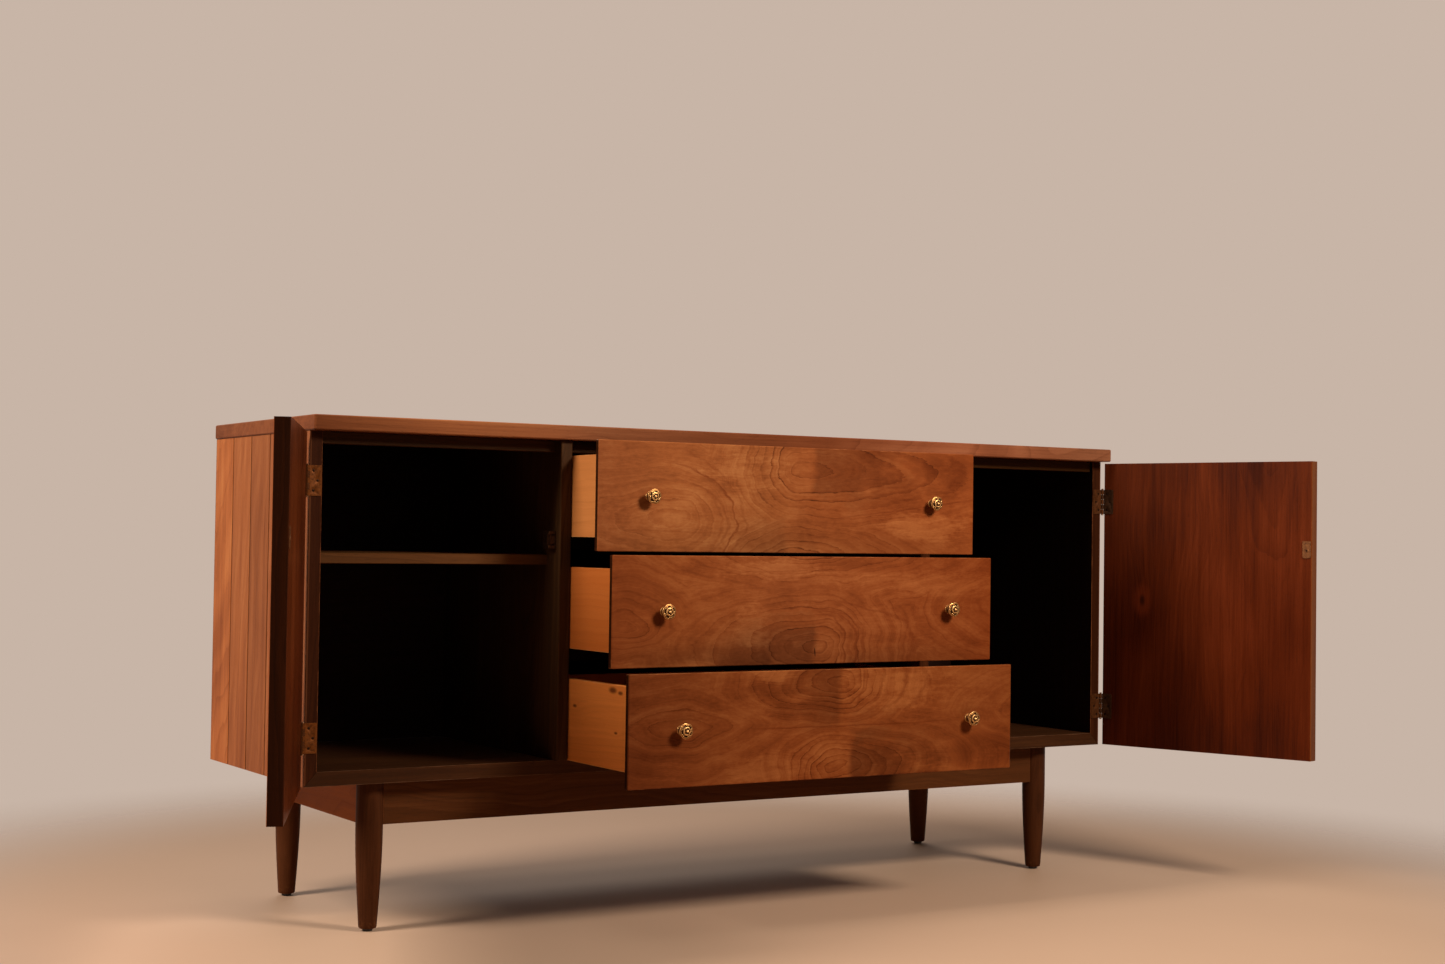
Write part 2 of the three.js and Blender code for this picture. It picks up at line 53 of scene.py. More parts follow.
print("frame loaded:", len(frame["nodes"]), "nodes")


# an output socket that adds and multiplies like a number
class Signal:
    def __init__(self, tree, socket):
        self.tree = tree
        self.socket = socket

    def math(self, operation, *others):
        return self.tree.make("ShaderNodeMath", {"operation": operation}, (self,) + others)

    def __add__(self, other):
        return self.math("ADD", other)

    __radd__ = __add__

    def __sub__(self, other):
        return self.math("SUBTRACT", other)

    def __rsub__(self, other):
        return self.tree.make("ShaderNodeMath", {"operation": "SUBTRACT"}, (other, self))

    def __mul__(self, other):
        return self.math("MULTIPLY", other)

    __rmul__ = __mul__

    def __truediv__(self, other):
        return self.math("DIVIDE", other)

    def __rtruediv__(self, other):
        return self.tree.make("ShaderNodeMath", {"operation": "DIVIDE"}, (other, self))

    def __pow__(self, other):
        return self.math("POWER", other)

    def __gt__(self, other):
        return self.math("GREATER_THAN", other)

    def __lt__(self, other):
        return self.math("LESS_THAN", other)

    def __abs__(self):
        return self.math("ABSOLUTE")

    def atLeast(self, other):
        return self.math("MAXIMUM", other)

    def atMost(self, other):
        return self.math("MINIMUM", other)

    def clamped(self):
        return self.atLeast(0.0).atMost(1.0)

    # eased from 0 at low to 1 at high
    def between(self, low, high):
        inputs = {"Value": self, "From Min": low, "From Max": high}
        return self.tree.make("ShaderNodeMapRange", {"interpolation_type": "SMOOTHSTEP"}, inputs)


def distance(first, second):
    return (first * first + second * second).math("SQRT")


def setStops(ramp, stops):
    while len(ramp.elements) < len(stops):
        ramp.elements.new(1.0)
    for element, (place, colour) in zip(ramp.elements, stops):
        element.position = place
        element.color = colour


# a material's or the world's nodes, each made and fed in one call
class Tree:
    def __init__(self, nodeTree):
        self.nodeTree = nodeTree

    def make(self, kind, settings, inputs, output=0):
        node = self.nodeTree.nodes.new(kind)
        for name, value in settings.items():
            if name == "stops":
                setStops(node.color_ramp, value)
            else:
                setattr(node, name, value)
        for name, value in inputs.items() if isinstance(inputs, dict) else enumerate(inputs):
            self.feed(node.inputs[name], value)
        return Signal(self, node.outputs[output])

    def feed(self, socket, value):
        if isinstance(value, Signal):
            self.nodeTree.links.new(value.socket, socket)
        else:
            socket.default_value = value

    def mix(self, factor, first, second):
        return self.make("ShaderNodeMix", {"data_type": "RGBA"}, {0: factor, 6: first, 7: second}, 2)


# a colour written as three numbers from 0 to 255, as the shader takes it
def linear(red, green, blue):
    def one(value):
        value = value / 255
        return value / 12.92 if value <= 0.04045 else ((value + 0.055) / 1.055) ** 2.4
    return (one(red), one(green), one(blue), 1.0)


# a material that starts from its piece's Object coordinates, in metres
class Paint(Tree):
    def __init__(self, name, **shader):
        self.material = bpy.data.materials.new(name)
        self.material.use_nodes = True
        super().__init__(self.material.node_tree)
        self.shader = self.nodeTree.nodes["Principled BSDF"]
        self.place = self.make("ShaderNodeTexCoord", {}, {}, "Object")
        self.x, self.y, self.z = self.split(self.place)
        for socketName, value in shader.items():
            self.feed(self.shader.inputs[socketName.replace("_", " ")], value)

    def finish(self, colour, roughness, bump):
        self.feed(self.shader.inputs["Base Color"], colour)
        self.feed(self.shader.inputs["Roughness"], roughness)
        self.feed(self.shader.inputs["Normal"], bump)
        return self

    def ramp(self, factor, stops):
        return self.make("ShaderNodeValToRGB", {"stops": stops}, (factor,))

    def times(self, colour, tint):
        return self.make("ShaderNodeVectorMath", {"operation": "MULTIPLY"}, (colour, tint))

    # tints along x, as rows of a place in mm and three factors
    def tintedAlong(self, colour, low, high, tints):
        wide = high.x - low.x
        stops = [((place / 1000 - low.x) / wide, (*tint, 1.0)) for place, *tint in tints]
        return self.times(colour, self.ramp((self.x - low.x) / wide, stops))

    def noise(self, place, scale=1.0, detail=2.0, roughness=0.5):
        inputs = {"Vector": place, "Scale": scale, "Detail": detail, "Roughness": roughness}
        return self.make("ShaderNodeTexNoise", {}, inputs)

    def noiseOf(self, value, detail=1.0):
        inputs = {"W": value, "Scale": 1.0, "Detail": detail}
        return self.make("ShaderNodeTexNoise", {"noise_dimensions": "1D"}, inputs)

    def random(self, value):
        return self.make("ShaderNodeTexWhiteNoise", {"noise_dimensions": "1D"}, {"W": value})

    def split(self, place):
        node = self.make("ShaderNodeSeparateXYZ", {}, (place,)).socket.node
        return [Signal(self, output) for output in node.outputs]

    def join(self, x, y, z):
        return self.make("ShaderNodeCombineXYZ", {}, (x, y, z))

    # board coordinates: u along the grain, v across the face, w through it
    def board(self, along, across, origin=(0, 0, 0), shift=(0, 0, 0)):
        along, across = Vector(along).normalized(), Vector(across).normalized()
        turn = Matrix((along, across, along.cross(across)))
        location = Vector(shift) - turn @ Vector(origin)
        inputs = {"Vector": self.place, "Location": location, "Rotation": turn.to_euler()}
        return self.split(self.make("ShaderNodeMapping", {}, inputs))

    def bump(self, height, distance):
        return self.make("ShaderNodeBump", {}, {"Strength": 1.0, "Distance": distance, "Height": height})

    def coat(self, piece):
        piece.data.materials.clear()
        piece.data.materials.append(self.material)

    def on(self, nodeName):
        self.coat(frame["nodes"][nodeName])


# deep, dark, middle and light tones of each wood
woodTones = {
    "front": [(48, 19, 5), (114, 51, 21), (148, 73, 34), (182, 104, 56)],
    "side": [(51, 19, 8), (119, 60, 32), (162, 92, 54), (199, 131, 84)],
    "top": [(40, 13, 5), (95, 45, 21), (133, 72, 40), (166, 101, 61)],
    "edge": [(13, 5, 1), (40, 18, 6), (61, 28, 10), (93, 47, 19)],
    "rim": [(7, 2, 0), (29, 10, 2), (45, 17, 3), (76, 33, 9)],
    "lip": [(39, 13, 3), (86, 40, 14), (113, 58, 22), (142, 79, 35)],
    # inside: near black, a dark stain with the compartments' deep shade painted in
    "inside": [(5, 2, 1), (14, 7, 4), (22, 11, 7), (34, 18, 11)],
    "door": [(21, 4, 1), (56, 16, 5), (82, 26, 6), (113, 41, 14)],
    "leg": [(19, 9, 4), (46, 23, 10), (65, 33, 15), (96, 53, 28)],
    "apron": [(25, 12, 4), (60, 29, 11), (83, 40, 16), (115, 62, 30)],
    "maple": [(110, 58, 22), (166, 94, 42), (192, 116, 58), (213, 142, 82)],
    "ply": [(84, 46, 22), (140, 88, 48), (166, 110, 66), (190, 134, 86)],
}
lacquer = {"Coat_Weight": 0.005, "Coat_Roughness": 0.2, "Specular_IOR_Level": 0.03}


def toneStops(name):
    return [(place, linear(*tone)) for place, tone in zip((0.0, 0.32, 0.55, 0.92), woodTones[name])]


# strength of each part of the grain, the tone in the middle, roughness and depth of bump
plainGrain = {"ring": 0.2, "line": 0.2, "fibre": 0.2, "streak": 0.3, "blotch": 0.24, "pore": 0.3,
              "middle": 0.55, "gloss": 0.42, "depth": 0.00012}
# cells per metre along and across the grain, detail and roughness of each noise
grainCells = {
    "fibre": (9.0, 330.0, 2.0, 0.6), "streak": (1.3, 52.0, 3.0, 0.62), "blotch": (3.0, 7.0, 2.0, 0.5),
    "pore": (70.0, 1500.0, 1.0, 0.5), "wander": (2.2, 6.0, 2.0, 0.55), "ripple": (14.0, 40.0, 2.0, 0.55),
}


def grainNoise(paint, u, v, w, name):
    along, across, detail, roughness = grainCells[name]
    return paint.noise(paint.join(u * along, v * across, w * across), 1.0, detail, roughness) - 0.5


# grain common to all the wood: rings counts growth rings, the rest follows the board
def grain(paint, u, v, w, rings, look):
    look = {**plainGrain, **look}
    fibre, streak, blotch, pore = [grainNoise(paint, u, v, w, name)
                                   for name in ("fibre", "streak", "blotch", "pore")]
    pore = pore.between(0.1, 0.24)
    ringTone = paint.noiseOf(rings, 2.0) - 0.5
    strength = paint.random(rings.math("FLOOR")) * 0.8 + 0.2
    line = rings.math("FRACT") ** 7.0 * strength * (0.7 + blotch * 1.6)
    tone = look["middle"] + ringTone * look["ring"] - line * look["line"] + fibre * look["fibre"]
    tone = tone + streak * look["streak"] + blotch * look["blotch"]
    colour = paint.ramp(tone.clamped(), toneStops(look["tones"]))
    colour = paint.mix(pore * look["pore"], colour, linear(*woodTones[look["tones"]][0]))
    roughness = look["gloss"] + fibre * 0.16 + pore * 0.12 + blotch * 0.12
    height = fibre * 0.7 - pore * 0.8 - line * 0.2
    return colour, roughness.clamped(), paint.bump(height, look["depth"])


# plain-sawn rings: distance from a heart line that lies off the board and wanders
def sawnRings(paint, u, v, w, pitch=0.0075, heart=(0.02, 0.09), lean=0.03):
    wander, ripple = [grainNoise(paint, u, v, w, name) for name in ("wander", "ripple")]
    side = v - heart[0] + u * lean + wander * 0.07
    below = w - heart[1] + u * lean * 1.6 + wander * 0.05
    return distance(side, below) / pitch + ripple * 0.7


# how near a point of a box's skin is to the nearest arris, along the box's own axes
def toArris(axes, low, high):
    middle, half = (low + high) / 2, (high - low) / 2
    a, b, c = [half[i] - abs(axis - middle[i]) for i, axis in enumerate(axes)]
    return a.atMost(b).atLeast(a.atLeast(b).atMost(c))


# thin lighter line along the arrises of a board: wear, and a painted highlight of the rounded edge catching
# the light
def wornAndLitArris(paint, colour, low, high, tint, width=0.0013, amount=0.6, axes=None):
    patchy = paint.noise(paint.place, scale=38.0, detail=3.0, roughness=0.65)
    reach = patchy.between(0.3, 0.75) * width + 0.0001
    away = toArris(axes or (paint.x, paint.y, paint.z), low, high)
    # the lighter arris line: part wear, part painted highlight
    worn = 1.0 - (away / reach).between(0.35, 1.0)
    return paint.mix(worn * amount, colour, linear(*tint))


def woodPaint(nodeName):
    return (Paint(f"{nodeName}_wood", **lacquer), *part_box(nodeName))


def solidWood(nodeName, along, across, look, shift, **saw):
    paint, low, high = woodPaint(nodeName)
    u, v, w = paint.board(along, across, (low + high) / 2, shift)
    colour, roughness, bump = grain(paint, u, v, w, sawnRings(paint, u, v, w, **saw), look)
    colour = paint.times(colour, look.get("tint", (1.0, 1.0, 1.0)))
    # worn: the arris line's tone, part wear and part painted highlight
    colour = wornAndLitArris(paint, colour, low, high, look.get("worn", woodTones[look["tones"]][3]))
    paint.finish(colour, roughness, bump).on(nodeName)


edgeLook = {"tones": "edge", "gloss": 0.44}
solidWood("left_divider", alongZ, alongY, {**edgeLook, "tint": (1.1, 1.8, 2.5)}, (0.3, 0.11, 0.02))
solidWood("right_divider", alongZ, alongY, edgeLook, (1.7, 0.05, 0.07))
solidWood("top_front_rail", alongX, alongZ, {**edgeLook, "tint": (1.05, 1.45, 1.35)}, (0.1, 0.4, 0.2))
# the bottom panel's lighter arris line is part wear, part painted highlight
floorLook = {**edgeLook, "tint": (1.0, 1.36, 1.8), "worn": (120, 84, 60)}
solidWood("bottom_panel", alongX, alongY, floorLook, (0.6, -0.1, 0.3))
solidWood("left_shelf", alongX, alongY, {**edgeLook, "middle": 0.8, "tint": (1.2, 1.7, 2.1)}, (1.1, 0.3, 0.1))
# inner faces near black: a dark stain with painted shade
insideLook = {"tones": "inside", "gloss": 0.62}
solidWood("lower_dust_board", alongX, alongY, insideLook, (0.2, 0.2, 0.1))
solidWood("upper_dust_board", alongX, alongY, insideLook, (1.2, 0.3, 0.2))


# back panel: thin plywood, stained inside with painted shade and bare outside, nailed along its rim; the
# nails' places and the two radii between which a head and the painted shadow round it fade are in mm
backPanel = {"skin": 0.0015, "stainAndShade": (2.2, 1.8, 1.5), "nailsIn": 8.0, "nailsApart": 142.0,
             "head": (1.5, 1.9), "dentShadow": (1.6, 3.4), "dentShadowTint": (0.62, 0.56, 0.5)}


# distance to the nearest nail of the rows along the rim, in mm
def nailReach(paint, low, high):
    middle, half = (low + high) * 500, (high - low) * 500
    x, z = paint.x * 1000.0, paint.z * 1000.0
    apart = backPanel["nailsApart"]
    rows = []
    for along, across, reach in ((x, abs(z - middle.z), half.z), (z - middle.z, abs(x - middle.x), half.x)):
        step = ((along / apart + 0.5).math("FRACT") - 0.5) * apart
        off = across - (reach - backPanel["nailsIn"])
        rows.append(distance(step, off))
    return rows[0].atMost(rows[1])


def paintBack():
    low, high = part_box("back_panel")
    paint = Paint("back_panel_ply", Specular_IOR_Level=0.05)
    u, v, w = paint.board(alongX, alongZ, shift=(0.4, 0.2, 0.0))
    rings = sawnRings(paint, u, v, w, pitch=0.012, heart=(0.3, 0.16), lean=0.06)
    outside, roughness, bump = grain(paint, u, v, w, rings, {"tones": "ply", "gloss": 0.62, "pore": 0.2})
    # the inside: a dark stain with painted shade, lifted by this tint
    inside = paint.times(grain(paint, u, v, w, rings, insideLook)[0], backPanel["stainAndShade"])
    away = nailReach(paint, low, high)
    # painted shadow in the dent round each nail head
    dentShadowed = paint.times(outside, backPanel["dentShadowTint"])
    outside = paint.mix(1.0 - away.between(*backPanel["dentShadow"]), outside, dentShadowed)
    outside = paint.mix(1.0 - away.between(*backPanel["head"]), outside, linear(62, 46, 36))
    behind = paint.y > low.y + backPanel["skin"]
    paint.finish(paint.mix(behind, inside, outside), roughness, bump).on("back_panel")


# sides: planks each with a cut of its own, dark inside (a dark stain with painted shade), in the grooves
# and on the front edge, where a band of the outer wood's colour is painted on as light on that edge;
# the plank tints paint shade, darker towards the front; the groove fades between two shares of a plank
sidePlanks = {"planks": 5, "skin": 0.0008, "frontBand": 0.0014, "lip": 0.003, "groove": (0.006, 0.022),
              "seeds": {"left": 3.7, "right": 9.1}, "grooveTone": (40, 16, 7), "redder": (150, 80, 44),
              "tints": [(0.86, 0.88, 0.88), (1.0, 1.0, 0.95), (0.94, 0.97, 0.9), (1.1, 1.11, 0.98),
                        (1.33, 1.29, 1.05)]}


def paintSide(side):
    nodeName = f"{side}_side_panel"
    paint, low, high = woodPaint(nodeName)
    planks, skin = sidePlanks["planks"], sidePlanks["skin"]
    u, v, w = paint.board(alongZ, alongY, (0, low.y, 0))
    places = v / ((high.y - low.y) / planks)
    plank = places.math("FLOOR")
    chance = paint.random(plank + sidePlanks["seeds"][side])
    u, v = u + chance * 5.3, v + chance * 0.9
    rings = sawnRings(paint, u, v, w, pitch=0.009, heart=(0.35, 0.12), lean=0.045)
    look = {"tones": "side", "ring": 0.22, "line": 0.18, "streak": 0.42, "blotch": 0.42}
    colour, roughness, bump = grain(paint, u, v, w, rings, look)
    colour = paint.mix(chance * 0.2, colour, linear(*sidePlanks["redder"]))
    # the plank tints paint shade: darker towards the front, lighter towards the back
    stops = [(number / (planks - 1), (*tint, 1.0)) for number, tint in enumerate(sidePlanks["tints"])]
    colour = paint.times(colour, paint.ramp(plank / (planks - 1), stops))
    groove = 1.0 - abs(places - (places + 0.5).math("FLOOR")).between(*sidePlanks["groove"])
    colour = paint.mix(groove * 0.7, colour, linear(*sidePlanks["grooveTone"]))
    edge = paint.times(grain(paint, u, v, w, rings, edgeLook)[0], (0.82, 0.82, 0.92))
    inner = grain(paint, u, v, w, rings, insideLook)[0]
    front = paint.y < low.y + sidePlanks["frontBand"]
    # the lip: the outer colour carried 3 mm into the front edge, painted light on that sliver
    outside = abs(paint.x) > max(abs(low.x), abs(high.x)) - skin - front * (sidePlanks["lip"] - skin)
    colour = paint.mix(outside, paint.mix(front, inner, edge), colour)
    colour = wornAndLitArris(paint, colour, low, high, (160, 92, 52))
    paint.finish(colour, roughness, bump).on(nodeName)


# top: veneer leaves matched along the middle, and a lipping in front with tints along x
topPanel = {"lipping": 0.0016, "shift": 0.4,
            "tints": [(-790, 0.85, 0.85, 0.8), (-550, 1.5, 1.7, 1.7), (-310, 1.05, 1.15, 1.25),
                      (160, 0.75, 0.65, 0.6), (440, 1.15, 1.2, 1.45), (760, 1.05, 1.3, 1.7)]}


def paintTop():
    paint, low, high = woodPaint("top_panel")
    u, v, w = paint.board(alongX, alongY, (low + high) / 2)
    u, v = u + topPanel["shift"], abs(v)
    rings = sawnRings(paint, u, v, w, pitch=0.0085, heart=(0.16, 0.05), lean=0.05)
    look = {"tones": "top", "streak": 0.36, "blotch": 0.3, "gloss": 0.38}
    colour, roughness, bump = grain(paint, u, v, w, rings, look)
    tinted = paint.tintedAlong(colour, low, high, topPanel["tints"])
    colour = paint.mix(paint.y < low.y + topPanel["lipping"], colour, tinted)
    colour = wornAndLitArris(paint, colour, low, high, (164, 106, 70), width=0.0016, amount=0.5)
    paint.finish(colour, roughness, bump).on("top_panel")


paintBack()
for side in sideNames:
    paintSide(side)
paintTop()
print("case finished")

# drawer fronts, in mm in the frame
# ovals: a heart of the figure, its ring pitch to the left, right, up and down, how square its
#     rings are and the count they start from
# tints: a place along x and three factors; with the veneer's tone they paint shade, darker at the left ends
# and on the lower drawers
# stain shades: the joint's x, how far the stain and painted chatoyance shade reach from it, bottom, top and
# amount
# arcs: centre, two radii and amount; seams: start, length, slope and amount
# patches: centre, half width, half height and amount, painted chatoyant highlight and shade; crack: the same
# without the amount
drawerVeneers = {
    "top": {
        "ovals": [(18, 724, 15, 72, 14, 13, 2.0, 0), (8, 578, 22, 40, 10.2, 12, 1.7, 1),
                  (-205, 640, 60, 19, 16, 18, 2.2, 4), (430, 690, 20, 20, 6, 14, 1.5, 4.5)],
        "tints": [(-353, 0.93, 1.12, 1.24), (-230, 1.12, 1.4, 1.5), (-50, 0.94, 1.17, 1.24),
                  (60, 0.9, 1.0, 1.0), (185, 0.79, 0.8, 0.76), (387, 0.85, 0.84, 0.76)],
        "stainShades": [(52, 290, 683, 830, 0.6), (-2, -170, 560, 624, 0.3), (60, -70, 560, 655, 0.12)],
        "arcs": [(-215, 640, 108, 88, 0.55), (-212, 636, 90, 68, 0.3), (-222, 642, 132, 108, 0.26)],
        "seams": [(60, 640, 380, 0.13, 0.3), (-330, 622, 250, -0.02, 0.2)],
        "patches": [(280, 636, 110, 22, 0.2), (-80, 715, 70, 30, 0.12), (330, 738, 90, 24, -0.12),
                    (-310, 735, 70, 30, -0.08), (170, 608, 90, 14, -0.08), (-250, 640, 60, 18, 0.06)],
        "seed": 1.3,
    },
    "middle": {
        "ovals": [(34, 440, 34, 12.5, 10.5, 14, 2.1, 0), (10, 592, 34, 38, 10, 7.6, 1.7, 1),
                  (-330, 470, 30, 24, 14, 8, 1.7, 4), (430, 500, 24, 20, 10, 12, 1.6, 5)],
        "tints": [(-353, 0.72, 0.72, 0.66), (-230, 0.84, 0.89, 0.83), (-50, 0.86, 0.96, 1.02),
                  (150, 0.8, 0.82, 0.8), (387, 0.62, 0.52, 0.41)],
        "stainShades": [(24, -230, 366, 474, 0.78), (-60, -330, 350, 440, 0.6), (84, 330, 350, 424, 0.34)],
        "arcs": [(20, 436, 62, 56, 0.4), (14, 436, 92, 62, 0.45), (10, 436, 108, 66, 0.3),
                 (0, 436, 230, 78, 0.3)],
        "seams": [(-180, 556, 260, 0.02, 0.16)],
        "patches": [(-95, 468, 34, 40, 0.16), (-60, 562, 110, 18, 0.15), (290, 540, 120, 24, 0.12),
                    (110, 570, 90, 14, -0.14), (150, 470, 110, 50, 0.02), (-300, 500, 60, 60, -0.08),
                    (60, 548, 60, 16, 0.1)],
        "crack": (22.5, 428, 1.6, 9.0),
        "seed": 4.1,
    },
    "bottom": {
        "ovals": [(40, 384, 28, 13.5, 10, 8.2, 2.15, 0), (18, 250, 12.5, 28, 8, 11, 2.1, 0),
                  (-255, 318, 44, 34, 14, 12, 1.4, 3.5), (430, 330, 24, 20, 10, 10, 1.6, 5)],
        "tints": [(-353, 0.5, 0.5, 0.47), (-230, 0.62, 0.64, 0.58), (-50, 0.72, 0.74, 0.67),
                  (150, 0.74, 0.78, 0.7), (387, 0.64, 0.64, 0.56)],
        "stainShades": [(36, -150, 316, 430, 0.64), (54, 230, 190, 290, 0.86), (54, 340, 296, 322, 0.3)],
        "arcs": [(30, 386, 56, 50, 0.35), (26, 386, 98, 58, 0.4), (20, 386, 150, 66, 0.4),
                 (16, 386, 196, 70, 0.3)],
        "seams": [(-150, 313, 440, 0.003, 0.45)],
        "patches": [(140, 372, 110, 36, 0.16), (-88, 398, 34, 14, 0.2), (-100, 255, 70, 26, 0.1),
                    (340, 262, 80, 30, -0.16), (-300, 260, 80, 40, -0.08), (20, 280, 40, 26, 0.08),
                    (-180, 345, 90, 16, 0.06)],
        "seed": 7.9,
    },
}


# ring count of the nearest oval, and the distance in mm to that oval's next dark line
def ovalRings(x, z, ovals):
    nearest = reach = None
    for heartX, heartZ, left, right, up, down, bend, start in ovals:
        dx, dz = x - heartX, z - heartZ
        across = (dx / right).atLeast(dx / -left)
        height = (dz / up).atLeast(dz / -down)
        count = (across ** bend + height ** bend) ** (1 / bend) + 0.01
        pitch = distance(dx, dz) / count
        count = count + start
        if nearest is None:
            nearest, reach = count, pitch
        else:
            closer = count < nearest
            nearest, reach = nearest.atMost(count), reach + closer * (pitch - reach)
    return nearest, reach


# lighter and darker patches of the figure, painted chatoyant highlight and shade, from 0 at their edge to the
# amount in the middle
def patched(x, z, patches, mottle):
    total = 0.0
    for patchX, patchZ, wide, tall, amount in patches:
        dx, dz = (x - patchX) / wide, (z - patchZ) / tall
        total = total + (1.0 - (dx * dx + dz * dz) * 0.7 + mottle).between(0.0, 1.0) * amount
    return total


stainShadeLook = {"tint": (0.44, 0.42, 0.46), "joint": (-6.0, 9.0), "soft": 24.0, "drift": 90.0}


# darker wood to one side of a leaf's joint, fading away from it: a stain with painted chatoyance shade
def stainedAndShaded(paint, colour, x, z, stainShades, mottle):
    soft, drift = stainShadeLook["soft"], mottle * stainShadeLook["drift"]
    before, behind = stainShadeLook["joint"]
    for joint, reach, bottom, top, amount in stainShades:
        away = (x - joint) / reach
        stainAndShade = (away + mottle * 0.05).between(before / abs(reach), behind / abs(reach))
        stainAndShade = stainAndShade * (1.0 - (away + mottle * 1.8).between(0.0, 1.2))
        stainAndShade = stainAndShade * (z - bottom + drift).between(-soft, soft) * (top - z + drift).between(-soft, soft)
        stainAndShade = (stainAndShade * (amount + mottle * 0.9)).clamped()
        colour = paint.mix(stainAndShade, colour, paint.times(colour, stainShadeLook["tint"]))
    return colour


# red mineral marks: arcs open to the left, and thin seams that fade at both ends
def mineralMarks(veneer, x, z, warpX, warpZ, ragged, drift):
    marks = 0.0
    for centreX, centreZ, wide, tall, amount in veneer["arcs"]:
        dx, dz = (warpX - centreX) / wide, (warpZ - centreZ) / tall
        away = abs((distance(dx, dz) - 1.0) * min(wide, tall) + ragged * 7.0)
        arc = (1.0 - away.between(0.2, 3.0)) * (dx + dz * 0.3).between(0.1, 0.8) * amount
        marks = arc.atLeast(marks)
    for startX, startZ, reach, slope, amount in veneer["seams"]:
        away = abs(z - startZ - (x - startX) * slope + ragged * 3.0 + drift * 5.0)
        share = (x - startX) / reach
        seam = (1.0 - away.between(0.2, 2.0)) * share.between(0.0, 0.15) * (1.0 - share.between(0.8, 1.0))
        marks = (seam * amount).atLeast(marks)
    return marks


# noises of the figure: cell width and height in mm, shift, detail and roughness
frontClouds = {
    "drift": (90.0, 50.0, 0.0, 2.0, 0.55), "lift": (100.0, 55.0, 9.0, 2.0, 0.55),
    "wobble": (14.0, 7.0, 4.0, 2.0, 0.6), "ripple": (24.0, 1.3, 31.0, 2.0, 0.6),
    "seen": (60.0, 40.0, 2.0, 1.0, 0.55), "flame": (120.0, 26.0, 6.0, 3.0, 0.55),
    "glow": (62.0, 44.0, 12.0, 3.0, 0.55), "wash": (210.0, 120.0, 15.0, 1.0, 0.55),
    "curl": (10.0, 5.0, 21.0, 3.0, 0.65), "pore": (9.0, 0.55, 25.0, 1.0, 0.55),
    "ragged": (9.0, 6.0, 41.0, 3.0, 0.65),
}
# what each part adds to the tone, from dark at 0 to light at 1
frontTone = {"ringTone": 0.2, "line": -0.27, "shade": -0.16, "feather": 0.14, "fibre": 0.18,
             "flame": 0.38, "glow": 0.42, "wash": 0.26, "curl": 0.26}
frontLook = {"middle": 0.58, "warp": (44.0, 27.0), "fadeRings": (3.5, 9.0), "face": 1.4,
             "pore": (70, 28, 10), "crack": (30, 12, 6), "marks": (0.56, 0.38, 0.3)}


